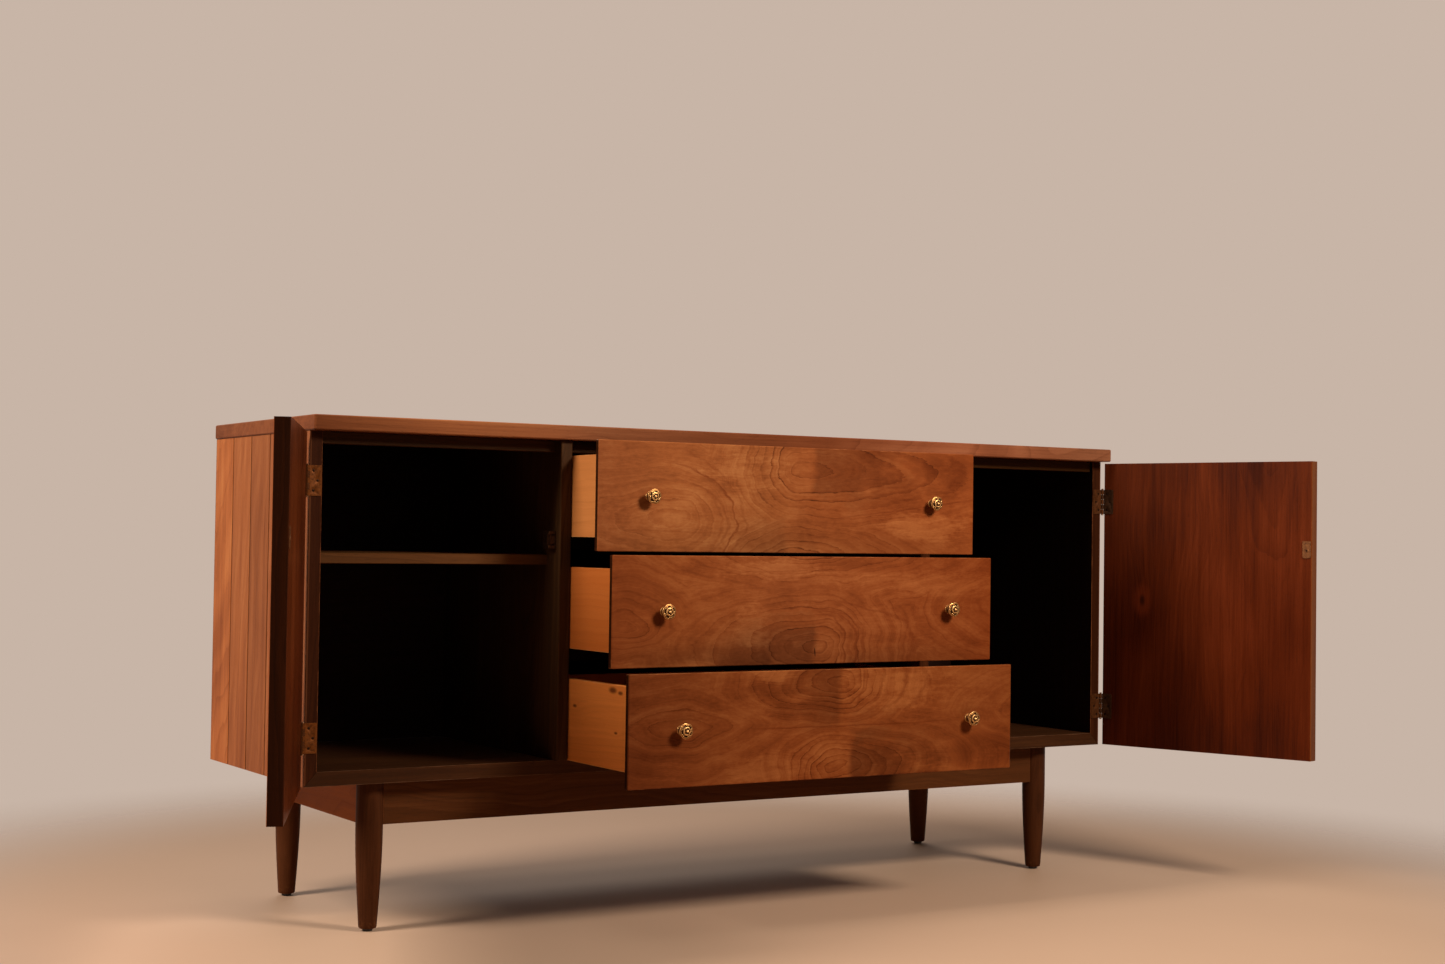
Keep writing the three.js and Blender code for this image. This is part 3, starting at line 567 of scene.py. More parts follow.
def paintFront(name):
    nodeName = f"{name}_drawer_front"
    paint, low, high = woodPaint(nodeName)
    veneer, seed = drawerVeneers[name], drawerVeneers[name]["seed"]
    x, y, z = paint.x * 1000.0, paint.y * 1000.0, paint.z * 1000.0
    part = {}
    for cloudName, (wide, tall, shift, detail, roughness) in frontClouds.items():
        place = paint.join(x / wide, seed + shift, z / tall)
        part[cloudName] = paint.noise(place, 1.0, detail, roughness) - 0.5
    drift, flame, glow, curl = part["drift"], part["flame"], part["glow"], part["curl"]
    warpX, warpZ = x + drift * frontLook["warp"][0], z + part["lift"] * frontLook["warp"][1]
    rings, pitch = ovalRings(warpX, warpZ, veneer["ovals"])
    rings = rings + part["wobble"] * 0.3 + part["ripple"] * 0.22
    late = rings.math("FRACT")
    inner = 1.0 - rings.between(*frontLook["fadeRings"]) * 0.72
    seen = part["seen"].between(-0.14, 0.12)
    strength = paint.random(rings.math("FLOOR") + seed) * 0.75 + 0.25
    line = 1.0 - ((1.0 - late) * pitch).between(0.3, 3.0)
    part["line"] = line * strength * inner * (0.15 + seen * 0.85)
    part["shade"] = late ** 1.7 * strength * inner
    part["feather"] = paint.noiseOf(rings * 4.3, 1.0) - 0.5
    streak = paint.join(warpX / 70.0, seed, warpZ / 1.9 + drift * 6.0)
    fibre = part["fibre"] = paint.noise(streak, detail=3.0, roughness=0.66) - 0.5
    part["ringTone"] = paint.noiseOf(rings * 0.9 + seed, 1.0) - 0.5
    tone = patched(warpX, warpZ, veneer["patches"], flame * 2.4 + glow + fibre + curl) + frontLook["middle"]
    for partName, share in frontTone.items():
        tone = tone + part[partName] * share
    colour = paint.ramp(tone.clamped(), toneStops("front"))
    pore = part["pore"].between(0.1, 0.26)
    colour = paint.mix(pore * 0.16, colour, linear(*frontLook["pore"]))
    # tints along x: veneer tone with painted shade, darker at the left end and on the lower drawers
    colour = paint.tintedAlong(colour, low, high, veneer["tints"])
    mottle = glow + flame + fibre * 0.3
    # painted chatoyance shade, with the stain, beside each leaf joint
    colour = stainedAndShaded(paint, colour, warpX * 0.2 + x * 0.8, warpZ, veneer["stainShades"], mottle)
    marks = mineralMarks(veneer, x, z, warpX, warpZ, part["ragged"], drift)
    marks = (marks * (1.25 + flame * 2.2 + curl)).clamped()
    colour = paint.mix(marks, colour, paint.times(colour, frontLook["marks"]))
    if "crack" in veneer:
        crackX, crackZ, wide, tall = veneer["crack"]
        dx, dz = (x - crackX + (z - crackZ) * 0.1) / wide, (z - crackZ) / tall
        crack = (1.0 - distance(dx, dz)).between(0.0, 0.5)
        colour = paint.mix(crack * 0.85, colour, linear(*frontLook["crack"]))
    u, v, w = paint.board(alongX, alongZ, low)
    edge = grain(paint, u, v, w, v / 0.007, {**edgeLook, "middle": 0.4})[0]
    colour = paint.mix(y < low.y * 1000 + frontLook["face"], edge, colour)
    colour = wornAndLitArris(paint, colour, low, high, (172, 104, 60), width=0.0014)
    roughness = 0.42 + fibre * 0.14 + pore * 0.12 + glow * 0.14
    bump = paint.bump(fibre * 0.6 - pore * 0.6 - part["line"] * 0.3, 0.00007)
    paint.finish(colour, roughness.clamped(), bump).on(nodeName)


for drawerName in drawerNames:
    paintFront(drawerName)
print("drawer fronts finished")

# drawer boxes: maple sides and back with a tint for each drawer that paints its light and shade, thin ply
# bottoms, and knots in the left sides as y, z and radius in metres
mapleLook = {"tones": "maple", "ring": 0.14, "line": 0.12, "fibre": 0.12, "streak": 0.2, "blotch": 0.3,
             "pore": 0.08, "depth": 0.00005}
# painted light and shade: the same maple brightened or darkened drawer by drawer
mapleLightTints = {"top": (1.06, 1.08, 1.1), "middle": (0.95, 0.7, 0.46), "bottom": (1.4, 1.25, 0.95)}
mapleKnots = {"flat": 0.4, "tone": (66, 24, 7), "top": (), "middle": (),
              "bottom": [(-0.1757, 0.374, 0.018), (-0.2, 0.371, 0.011), (-0.052, 0.341, 0.009),
                         (-0.187, 0.309, 0.007)]}
plyLook = {"tones": "ply", "gloss": 0.5, "pore": 0.2}
plySaw = {"pitch": 0.012, "heart": (0.5, 0.14), "lean": 0.05}


def paintMaple(nodeName, along, across, shift, tint, knots=()):
    low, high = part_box(nodeName)
    paint = Paint(f"{nodeName}_maple", Coat_Weight=0.04, Coat_Roughness=0.25, Specular_IOR_Level=0.2)
    u, v, w = paint.board(along, across, shift=shift)
    rings = sawnRings(paint, u, v, w, pitch=0.011, heart=(0.05, 0.07), lean=0.05)
    marks = []
    for knotY, knotZ, size in knots:
        dy, dz = (paint.y - knotY) / size, (paint.z - knotZ) / (size * mapleKnots["flat"])
        away = distance(dy, dz)
        rings = rings + 1.6 / (0.6 + away)
        marks.append((1.0 - away).between(0.0, 0.75))
    colour, roughness, bump = grain(paint, u, v, w, rings, mapleLook)
    for mark in marks:
        colour = paint.mix(mark * 0.85, colour, linear(*mapleKnots["tone"]))
    colour = paint.times(colour, tint)
    colour = wornAndLitArris(paint, colour, low, high, (232, 170, 108), width=0.0012, amount=0.5)
    paint.finish(colour, roughness, bump).on(nodeName)


for number, drawerName in enumerate(drawerNames):
    box, tint = f"{drawerName}_drawer", mapleLightTints[drawerName]
    paintMaple(f"{box}_left_side", alongY, alongZ, (0.2 + number, 0.5, 0.1), tint, mapleKnots[drawerName])
    paintMaple(f"{box}_right_side", alongY, alongZ, (0.7 + number, 0.2, 0.4), tint)
    paintMaple(f"{box}_back", alongX, alongZ, (1.4 + number, 0.1, 0.5), tint)
    solidWood(f"{box}_bottom", alongX, alongY, plyLook, (0.3, 0.7 + number, 0.2), **plySaw)

# doors, in metres from the pin: red-brown leaves inside, matched at a seam, with a knot that
# pulls the grain and has a halo and an eye of spread each way, edge, amount and tone; tints
# near the pin, far from it and at the top, which is a painted sheen, with the spans they change over
doorLook = {"tones": "door", "ring": 0.17, "line": 0.12, "fibre": 0.3, "streak": 0.36, "blotch": 0.95,
            "gloss": 0.3}
doorKnot = {"wide": 0.03, "tall": 0.06, "rings": 3.2, "bend": 0.012,
            "halo": (1.6, 2.2, 0.6, 0.35, (104, 38, 14)), "eye": (14.0, 16.0, 0.8, 0.8, (30, 10, 4))}
doorSpans = {"across": (0.06, 0.34), "slant": (0.45, 0.25), "up": (0.45, 0.78), "skin": 0.0006}
doorKinds = {
    "left": {"seam": 0.212, "knot": (0.31, 0.40), "shift": 2.3, "rim": "rim", "worn": (84, 42, 20),
             "near": (0.68, 0.96, 1.22, 1.0), "far": (1.02, 1.7, 2.3, 1.0), "top": (1.1, 1.1, 1.0, 1.0)},
    "right": {"seam": 0.1975, "knot": (0.085, 0.505), "shift": 0.0, "rim": "lip", "worn": (140, 82, 46),
              "near": (0.63, 0.74, 0.8, 1.0), "far": (1.04, 1.24, 1.34, 1.0), "top": (1.55, 1.8, 2.1, 1.0)},
}


# a door's pin and its ways: from hinge to free edge, from outer to inner face, and up
def doorFrame(side):
    joint = joints[f"{side}_door_hinge"]
    angle = -math.radians(joint["range_deg"][0]) * joint["axis"][2]
    turn = Matrix.Rotation(angle, 3, "Z")
    pin = Vector((joint["pos_m"][0], joint["pos_m"][1], 0))
    outward = 1 if side == "left" else -1
    return pin, (turn @ Vector((outward, 0, 0)), turn @ Vector(alongY), Vector(alongZ))


# the corners of a node's box in its door's ways
def doorBox(nodeName, pin, ways):
    points = [vertex.co - pin for vertex in frame["nodes"][nodeName].data.vertices]
    spans = [[point.dot(way) for point in points] for way in ways]
    return Vector([min(span) for span in spans]), Vector([max(span) for span in spans])


def paintDoor(side):
    kind = doorKinds[side]
    pin, ways = doorFrame(side)
    low, high = doorBox(f"{side}_door", pin, ways)
    paint = Paint(f"{side}_door_wood", Coat_Weight=0.01, Coat_Roughness=0.16, Specular_IOR_Level=0.035)

    def reach(way):
        product = paint.make("ShaderNodeVectorMath", {"operation": "DOT_PRODUCT"}, (paint.place, way), 1)
        return product - pin.dot(way)

    v, w, u = reach(ways[0]), reach(ways[1]), paint.z
    knotV, knotU = kind["knot"]
    dv, du = (v - knotV) / doorKnot["wide"], (u - knotU) / doorKnot["tall"]
    pull = 1.0 / (1.0 + (dv * dv + du * du) * 2.0)
    leaf = v > kind["seam"]
    folded = abs(v - kind["seam"])
    along = u + kind["shift"]
    cut = {"pitch": 0.0068, "heart": (0.26, 0.13), "lean": 0.018}
    rings = sawnRings(paint, along, folded + leaf * 0.11, w, **cut)
    matched = folded + leaf * 0.4 + pull * doorKnot["bend"]
    inside, roughness, bump = grain(paint, along, matched, w, rings + pull * doorKnot["rings"], doorLook)
    height, slant = doorSpans["slant"]
    warm = (v + (u - height) * slant).between(*doorSpans["across"])
    inside = paint.times(inside, paint.mix(warm, kind["near"], kind["far"]))
    # painted sheen: the inside lightens towards the top
    sheenHeight = u.between(*doorSpans["up"])
    inside = paint.times(inside, paint.mix(sheenHeight, (1.0, 1.0, 1.0, 1.0), kind["top"]))
    for across, upward, edge, amount, tone in (doorKnot["halo"], doorKnot["eye"]):
        mark = (1.0 - (dv * dv * across + du * du * upward).math("SQRT")).between(0.0, edge)
        inside = paint.mix(mark * amount, inside, linear(*tone))
    outerLook = {**doorLook, "tones": "front", "gloss": 0.4}
    outside = grain(paint, along + 1.0, v, w, rings, outerLook)[0]
    rim = grain(paint, u, v, w, rings, {**edgeLook, "tones": kind["rim"]})[0]
    colour = paint.mix(w < (low.y + high.y) / 2, inside, outside)
    face = (w > high.y - doorSpans["skin"]).atLeast(w < low.y + doorSpans["skin"])
    colour = paint.mix(face, rim, colour)
    colour = wornAndLitArris(paint, colour, low, high, kind["worn"], width=0.0015, axes=(v, w, u))
    paint.finish(colour, roughness, bump).on(f"{side}_door")


for side in sideNames:
    paintDoor(side)

apronLook = {"tones": "apron", "gloss": 0.42}
solidWood("front_apron", alongX, alongZ, {**apronLook, "tint": (1.02, 1.26, 1.4)}, (0.2, 0.2, 0.3))
solidWood("back_apron", alongX, alongZ, apronLook, (1.5, 0.3, 0.2))
endLook = {**apronLook, "middle": 0.84, "tint": (2.35, 2.1, 0.92)}
solidWood("left_apron", alongY, alongZ, endLook, (0.9, 0.1, 0.5))
solidWood("right_apron", alongY, alongZ, endLook, (0.4, 0.5, 0.5))
print("doors, aprons and drawer boxes finished")


# a metal with worn clouds and specks of dirt
def metalPaint(name, bright, worn, dirt, roughness, metallic, specular=0.5):
    paint = Paint(name, Metallic=metallic, Specular_IOR_Level=specular)
    cloud = paint.noise(paint.place, scale=260.0, detail=3.0, roughness=0.6)
    speck = paint.noise(paint.place, scale=1560.0, roughness=0.6)
    colour = paint.mix(cloud.between(0.35, 0.7), linear(*bright), linear(*worn))
    colour = paint.mix(speck.between(0.55, 0.75) * 0.6, colour, linear(*dirt))
    shine = roughness + (cloud - 0.5) * 0.3 + (speck - 0.5) * 0.15
    return paint.finish(colour, shine.clamped(), paint.bump(speck, 0.00003))


# hinge leaves: bright, worn and dirt colours of each side's two leaves
leafTones = {
    ("left", "case"): ((109, 57, 16), (84, 43, 11), (38, 17, 4)),
    ("left", "door"): ((84, 44, 16), (62, 32, 11), (32, 15, 5)),
    ("right", "case"): ((88, 48, 20), (64, 34, 13), (34, 16, 6)),
    ("right", "door"): ((62, 36, 18), (44, 25, 12), (24, 12, 6)),
}
leafBronze = {place: metalPaint("_".join(place) + "_leafBronze", *tones, 0.52, 0.38, 0.1)
              for place, tones in leafTones.items()}
# the other metals and the glides: bright, worn and dirt colours, roughness and metallic
metalTones = {
    "knuckleBronze": ((74, 50, 36), (42, 26, 18), (18, 11, 8), 0.42, 1.0),
    "pinBronze": ((150, 112, 82), (96, 62, 40), (44, 26, 15), 0.36, 1.0),
    "catchBronze": ((92, 60, 38), (64, 42, 28), (30, 20, 14), 0.5, 1.0),
    "strikeBrass": ((122, 76, 40), (90, 52, 27), (44, 24, 12), 0.46, 0.8),
    "screwSteel": ((44, 28, 18), (26, 16, 10), (10, 6, 4), 0.45, 1.0),
    "glideNylon": ((40, 30, 24), (30, 23, 19), (16, 12, 10), 0.55, 0.0),
}
metals = {name: metalPaint(name, *tones) for name, tones in metalTones.items()}
for side in sideNames:
    metals["catchBronze"].on(f"{side}_catch")

knobTones = [(0.0, (54, 27, 8)), (0.5, (90, 51, 18)), (0.74, (138, 88, 38)), (1.0, (238, 184, 116))]


# brass knob: bright rims and a dark patina in the folds that paintFolds finds on the mesh
def knobPaint():
    paint = Paint("knobBrass", Metallic=0.85)
    folds = paint.make("ShaderNodeAttribute", {"attribute_name": "folds"}, {}, "Fac")
    speck = paint.noise(paint.place, scale=900.0, detail=3.0, roughness=0.6)
    light = (folds + (speck - 0.5) * 0.2).between(-0.4, 0.6)
    colour = paint.ramp(light, [(place, linear(*tone)) for place, tone in knobTones])
    return paint.finish(colour, (0.52 - light * 0.2).clamped(), paint.bump(speck, 0.00004))


mm = Matrix.Scale(0.001, 4)
near = 0.01  # mm within which two places are the same


def spun(degrees, axis="Z"):
    return Matrix.Rotation(math.radians(degrees), 4, axis)


def linked(name, data):
    thing = bpy.data.objects.new(name, data)
    bpy.context.scene.collection.objects.link(thing)
    return thing


def startPiece(name, primitive, **settings):
    bpy.ops.object.select_all(action="DESELECT")
    primitive(**settings)
    piece = bpy.context.object
    piece.name = name
    return piece


def only(piece):
    bpy.ops.object.select_all(action="DESELECT")
    piece.select_set(True)
    bpy.context.view_layer.objects.active = piece


def applied(piece, kind, **settings):
    only(piece)
    modifier = piece.modifiers.new(kind.title(), kind)
    for name, value in settings.items():
        setattr(modifier, name, value)
    bpy.ops.object.modifier_apply(modifier=modifier.name)


def editAll(piece):
    only(piece)
    bpy.ops.object.mode_set(mode="EDIT")
    bpy.ops.mesh.select_all(action="SELECT")


def facedOut(piece):
    editAll(piece)
    bpy.ops.mesh.normals_make_consistent(inside=False)
    bpy.ops.object.mode_set(mode="OBJECT")
    return piece


# a turned shape: the disc is drawn out ring by ring, rows are radius and height
def turned(name, rows, segments=32):
    piece = startPiece(name, bpy.ops.mesh.primitive_circle_add, vertices=segments, radius=rows[0][0],
                       fill_type="NGON", location=(0, 0, rows[0][1]))
    bpy.ops.object.transform_apply(location=True, rotation=True, scale=True)
    editAll(piece)
    for (lastRadius, lastHeight), (radius, height) in zip(rows, rows[1:]):
        bpy.ops.mesh.extrude_region_move(TRANSFORM_OT_translate={"value": (0, 0, height - lastHeight)})
        grow = radius / lastRadius
        bpy.ops.transform.resize(value=(grow, grow, 1), center_override=(0, 0, height))
    bpy.ops.object.mode_set(mode="OBJECT")
    return facedOut(piece)


def copyOf(piece, name, matrix):
    twin = linked(name, piece.data.copy())
    twin.data.transform(matrix)
    return twin


def joined(name, *parts):
    bpy.ops.object.select_all(action="DESELECT")
    for part in parts:
        part.select_set(True)
    bpy.context.view_layer.objects.active = parts[0]
    bpy.ops.object.join()
    whole = bpy.context.object
    whole.name = name
    return whole


def cutBy(piece, *tools, operation="DIFFERENCE"):
    for tool in tools:
        applied(piece, "BOOLEAN", operation=operation, solver="EXACT", object=tool)
        bpy.data.objects.remove(tool)


def smoothed(piece, degrees=35):
    only(piece)
    bpy.ops.object.shade_smooth_by_angle(angle=math.radians(degrees))
    return piece


def placed(piece, body, slotName, *nodeNames):
    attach(piece, body)
    if nodeNames:
        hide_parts(*nodeNames)


# knob, in mm: a turned stem, two rings of overlapping petals and a bead; a petal is the
# outer side of a bowl whose middle stands off the axis, cut off near it and below its rim
knob = {
    "stem": [(7.4, 0.0), (7.6, 0.7), (6.8, 1.7), (5.0, 2.9), (4.1, 4.8), (4.3, 7.2), (5.8, 9.2),
             (7.6, 10.8), (9.4, 12.4), (9.6, 14.6), (7.6, 15.6), (5.0, 16.8), (3.4, 17.9), (1.0, 19.2)],
    "segments": 48,
    "petals": [
        {"count": 5, "bowl": 8.6, "out": 4.1, "rim": 17.4, "below": 1.0, "lean": 9, "thick": 2.9, "turn": 10},
        {"count": 5, "bowl": 5.2, "out": 1.9, "rim": 19.4, "below": 0.6, "lean": 6, "thick": 2.1, "turn": 42},
    ],
    "bead": (2.3, 19.6), "petalCut": 0.22, "voxel": 0.32, "smoothing": 7, "foldSteps": 40,
    "turns": {"left": 0, "right": 40, "perDrawer": 17},
}


def makePetal(kind):
    petal = startPiece("petal", bpy.ops.mesh.primitive_uv_sphere_add, segments=40, ring_count=28,
                       radius=kind["bowl"])
    editAll(petal)
    bpy.ops.mesh.bisect(plane_co=(0, 0, -kind["below"]), plane_no=(0, 0, 1), clear_outer=True)
    bpy.ops.mesh.select_all(action="SELECT")
    inner = (kind["bowl"] * knob["petalCut"], 0, 0)
    bpy.ops.mesh.bisect(plane_co=inner, plane_no=(-1, 0, 0), clear_outer=True)
    bpy.ops.object.mode_set(mode="OBJECT")
    applied(petal, "SOLIDIFY", thickness=kind["thick"], offset=-1.0)
    out = Matrix.Translation((kind["out"], 0, kind["rim"] + kind["below"]))
    petal.data.transform(out @ spun(kind["lean"], "Y"))
    return petal


# how far each point stands out of the smoothed surface, in mm: rims above 0, folds below
def paintFolds(piece):
    mesh = piece.data
    count = len(mesh.vertices)
    spots, normals = np.empty(count * 3), np.empty(count * 3)
    mesh.vertices.foreach_get("co", spots)
    mesh.vertices.foreach_get("normal", normals)
    spots, normals = spots.reshape(-1, 3), normals.reshape(-1, 3)
    ends = np.empty(len(mesh.edges) * 2, dtype=int)
    mesh.edges.foreach_get("vertices", ends)
    first, second = np.concatenate([ends[0::2], ends[1::2]]), np.concatenate([ends[1::2], ends[0::2]])
    neighbours = np.bincount(first, minlength=count)
    eased = spots.copy()
    for _ in range(knob["foldSteps"]):
        eased = np.stack([np.bincount(first, eased[second, axis], count) for axis in range(3)], 1)
        eased = eased / neighbours[:, None]
    proud = ((spots - eased) * normals).sum(1)
    folds = mesh.attributes.new("folds", "FLOAT", "POINT")
    folds.data.foreach_set("value", proud.astype(np.float32))


def makeKnob():
    parts = [turned("knobStem", knob["stem"], knob["segments"])]
    for kind in knob["petals"]:
        petal = makePetal(kind)
        for number in range(kind["count"]):
            parts.append(copyOf(petal, "petalCopy", spun(kind["turn"] + 360 / kind["count"] * number)))
        bpy.data.objects.remove(petal)
    radius, height = knob["bead"]
    bead = startPiece("bead", bpy.ops.mesh.primitive_ico_sphere_add, subdivisions=4, radius=radius,
                      location=(0, 0, height))
    bpy.ops.object.transform_apply(location=True, rotation=True, scale=True)
    whole = joined("knobMaster", *parts, bead)
    applied(whole, "REMESH", mode="VOXEL", voxel_size=knob["voxel"])
    applied(whole, "SMOOTH", factor=0.5, iterations=knob["smoothing"])
    only(whole)
    bpy.ops.object.shade_smooth()
    paintFolds(whole)
    return whole


def placeKnobs():
    master = makeKnob()
    paint = knobPaint()
    turns = knob["turns"]
    for number, drawerName in enumerate(drawerNames):
        for side in sideNames:
            nodeName = f"{drawerName}_drawer_{side}_knob"
            low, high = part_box(nodeName)
            seat = Matrix.Translation(((low.x + high.x) / 2, high.y, (low.z + high.z) / 2))
            turn = spun(90, "X") @ spun(turns["perDrawer"] * number + turns[side])
            twin = copyOf(master, f"{drawerName}_{side}_rosette", seat @ turn @ mm)
            paint.coat(twin)
            placed(twin, f"{drawerName}_drawer", "knob_brass", nodeName)
    print("knobs modelled:", len(master.data.polygons), "faces each")
    bpy.data.objects.remove(master)


placeKnobs()

# legs, in mm: turned with a gentle belly, standing on glides; each has a middle tone, lighter on the back
# legs as painted light
leg = {"segments": 64, "foot": 14.0, "top": 21.0, "footRound": 2.5, "bevel": (0.8, 0.7),
       "straightFrom": 163.0, "rows": 22, "middle": (0.58, 0.6, 0.78, 0.95), "scuff": (110, 66, 38),
       "glide": [(5.6, 0.0), (7.0, 0.25), (7.8, 0.9), (8.0, 1.6), (8.0, 3.2)], "glideTop": 7.4}


def legRows(low, high):
    foot, top, easing, (bevel, rise) = leg["foot"], leg["top"], leg["footRound"], leg["bevel"]
    start = low + easing
    rows = [(foot - easing, low), (foot - bevel, low + rise), (foot, start)]
    for number in range(1, leg["rows"] + 1):
        share = number / leg["rows"]
        radius = foot + (top - foot) * math.sin(share * math.pi / 2)
        rows.append((radius, start + share * (leg["straightFrom"] - start)))
    return rows + [(top, high - bevel), (top - bevel, high)]


def legPaint(nodeName, shift, middle):
    paint, low, high = woodPaint(nodeName)
    u, v, w = paint.board(alongZ, alongX, (low + high) / 2, shift)
    rings = sawnRings(paint, u, v, w, pitch=0.006, heart=(0.03, 0.05), lean=0.02)
    look = {"tones": "leg", "gloss": 0.4, "streak": 0.4, "middle": middle}
    colour, roughness, bump = grain(paint, u, v, w, rings, look)
    patchy = paint.noise(paint.place, scale=160.0, detail=3.0, roughness=0.6).between(0.45, 0.7)
    scuff = (1.0 - paint.z.between(0.006, 0.03)) * patchy
    colour = paint.mix(scuff * 0.5, colour, linear(*leg["scuff"]))
    return paint.finish(colour, roughness, bump)


def makeLegs():
    corners = [f"{row}_{side}" for row in ("front", "back") for side in sideNames]
    for number, corner in enumerate(corners):
        low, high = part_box(f"{corner}_leg")
        centre = Matrix.Translation(((low.x + high.x) / 2, (low.y + high.y) / 2, 0))
        upright = turned(f"{corner}_turned_leg", legRows(low.z * 1000, high.z * 1000), leg["segments"])
        upright.data.transform(centre @ mm)
        # each leg's middle tone paints how lit it is, the back legs lighter
        paint = legPaint(f"{corner}_leg", (0.2 + number, 0.04, 0.3), leg["middle"][number])
        paint.coat(smoothed(upright))
        placed(upright, "case", "leg_walnut", f"{corner}_leg")
        glideRows = leg["glide"] + [(leg["glideTop"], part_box(f"{corner}_glide")[1].z * 1000)]
        sole = turned(f"{corner}_foot_glide", glideRows, segments=40)
        sole.data.transform(centre @ mm)
        metals["glideNylon"].coat(smoothed(sole))
        placed(sole, "case", "glide", f"{corner}_glide")
    print("legs turned")


makeLegs()

# hinge, in mm from the pin: x to the plate's far edge, y of each leaf from front to back, the
# side its screws are on, its first knuckle, and rows of radius and height of what is turned
hinge = {
    "plate": (2.2, 22.7), "height": 46.0, "corner": 2.2,
    "leaves": {"case": (0.1, 1.2, -1, 0), "door": (-1.2, -0.1, 1, 1)},
    "knuckles": 5, "gap": 0.4, "radius": 2.8, "bevel": 0.3, "neck": 1.0, "bore": 1.45, "clear": 0.4,
    "pin": [(1.3, 0.25), (2.2, 0.3), (2.5, 0.9), (2.3, 1.5), (1.5, 2.1)],
    "sink": [(1.3, -2.0), (1.3, -0.6), (2.9, 0.3), (2.9, 1.0)],
    "screws": [(9.2, 15.0), (15.8, 0.0), (9.2, -15.0)], "screwRadius": 2.5, "screwIn": 0.32,
}


def knuckleSpan(number):
    pitch = hinge["height"] / hinge["knuckles"]
    low = -hinge["height"] / 2 + number * pitch
    return low + hinge["gap"] / 2, low + pitch - hinge["gap"] / 2


def block(name, x0, x1, y0, y1, z0, z1):
    piece = startPiece(name, bpy.ops.mesh.primitive_cube_add, size=1.0,
                       location=((x0 + x1) / 2, (y0 + y1) / 2, (z0 + z1) / 2))
    piece.scale = (x1 - x0, y1 - y0, z1 - z0)
    bpy.ops.object.transform_apply(location=True, rotation=True, scale=True)
    return piece


# rounds the edges of a block whose two ends pass the test
def roundCorners(piece, test, radius):
    only(piece)
    bpy.ops.object.mode_set(mode="EDIT")
    bpy.ops.mesh.select_mode(type="EDGE")
    bpy.ops.mesh.select_all(action="DESELECT")
    mesh = bmesh.from_edit_mesh(piece.data)
    for edge in mesh.edges:
        edge.select_set(test(*[vertex.co for vertex in edge.verts]))
    bmesh.update_edit_mesh(piece.data)
    bpy.ops.mesh.bevel(offset=radius, segments=4, affect="EDGES")
    bpy.ops.object.mode_set(mode="OBJECT")


# one leaf: plate with countersunk holes, necks and rolled knuckles
def makeLeaf(name, y0, y1, face, first):
    x0, x1 = hinge["plate"]
    half, radius, bevel = hinge["height"] / 2, hinge["radius"], hinge["bevel"]
    leaf = block(name, x0, x1, y0, y1, -half, half)

    def farCorner(first, second):
        return min(first.x, second.x) > x1 - near and abs(first.z - second.z) < near

    roundCorners(leaf, farCorner, hinge["corner"])
    for number in range(first, hinge["knuckles"], 2):
        low, high = knuckleSpan(number)
        neck = block("neck", 0.0, x0 + hinge["neck"], y0, y1, low, high)
        barrel = turned("barrel", [(radius - bevel, low), (radius, low + bevel), (radius, high - bevel),
                                   (radius - bevel, high)])
        cutBy(leaf, neck, barrel, operation="UNION")
        cutBy(leaf, turned("bore", [(hinge["bore"], low - 1), (hinge["bore"], high + 1)], segments=24))
    for number in range(1 - first, hinge["knuckles"], 2):
        low, high = knuckleSpan(number)
        clear = radius + hinge["clear"]
        cutBy(leaf, turned("clear", [(clear, low - hinge["gap"]), (clear, high + hinge["gap"])]))
    for x, z in hinge["screws"]:
        sink = turned("sink", hinge["sink"], segments=24)
        sink.data.transform(Matrix.Translation((x, y0 if face < 0 else y1, z)) @ spun(-90 * face, "X"))
        cutBy(leaf, sink)
    for polygon in leaf.data.polygons:
        polygon.material_index = int(polygon.center.xy.length < radius + 0.1)
    return leaf


# countersunk screws with a slot, heads a hair below the plate: rows are shares of the radius
# and heights in mm
screw = {"head": [(0.45, -0.9), (0.96, 0.05), (0.9, 0.16), (0.55, 0.3), (0.1, 0.36)],
         "slot": (1.1, 0.28, -0.25), "turn": 47}


def makeScrews(name, spots, radius, slotTurn=20):
    head = turned("head", [(share * radius, height) for share, height in screw["head"]], segments=24)
    share, half, depth = screw["slot"]
    cutBy(head, block("slot", -radius * share, radius * share, -half, half, depth, 1.0))
    heads = [copyOf(head, "headCopy", matrix @ spun(slotTurn + screw["turn"] * number))
             for number, matrix in enumerate(spots)]
    bpy.data.objects.remove(head)
    return smoothed(joined(name, *heads), 30)


def hingeMasters():
    masters = {}
    for kind, (y0, y1, face, first) in hinge["leaves"].items():
        leaf = makeLeaf(f"{kind}LeafMaster", y0, y1, face, first)
        y = (y0 if face < 0 else y1) - face * hinge["screwIn"]
        spots = [Matrix.Translation((x, y, z)) @ spun(-90 * face, "X") for x, z in hinge["screws"]]
        masters[kind] = (smoothed(leaf), makeScrews(f"{kind}ScrewMaster", spots, hinge["screwRadius"]))
    half = hinge["height"] / 2
    upper = [(radius, half + rise) for radius, rise in hinge["pin"]]
    lower = [(radius, -height) for radius, height in reversed(upper)]
    return masters, smoothed(turned("pinMaster", lower + upper))


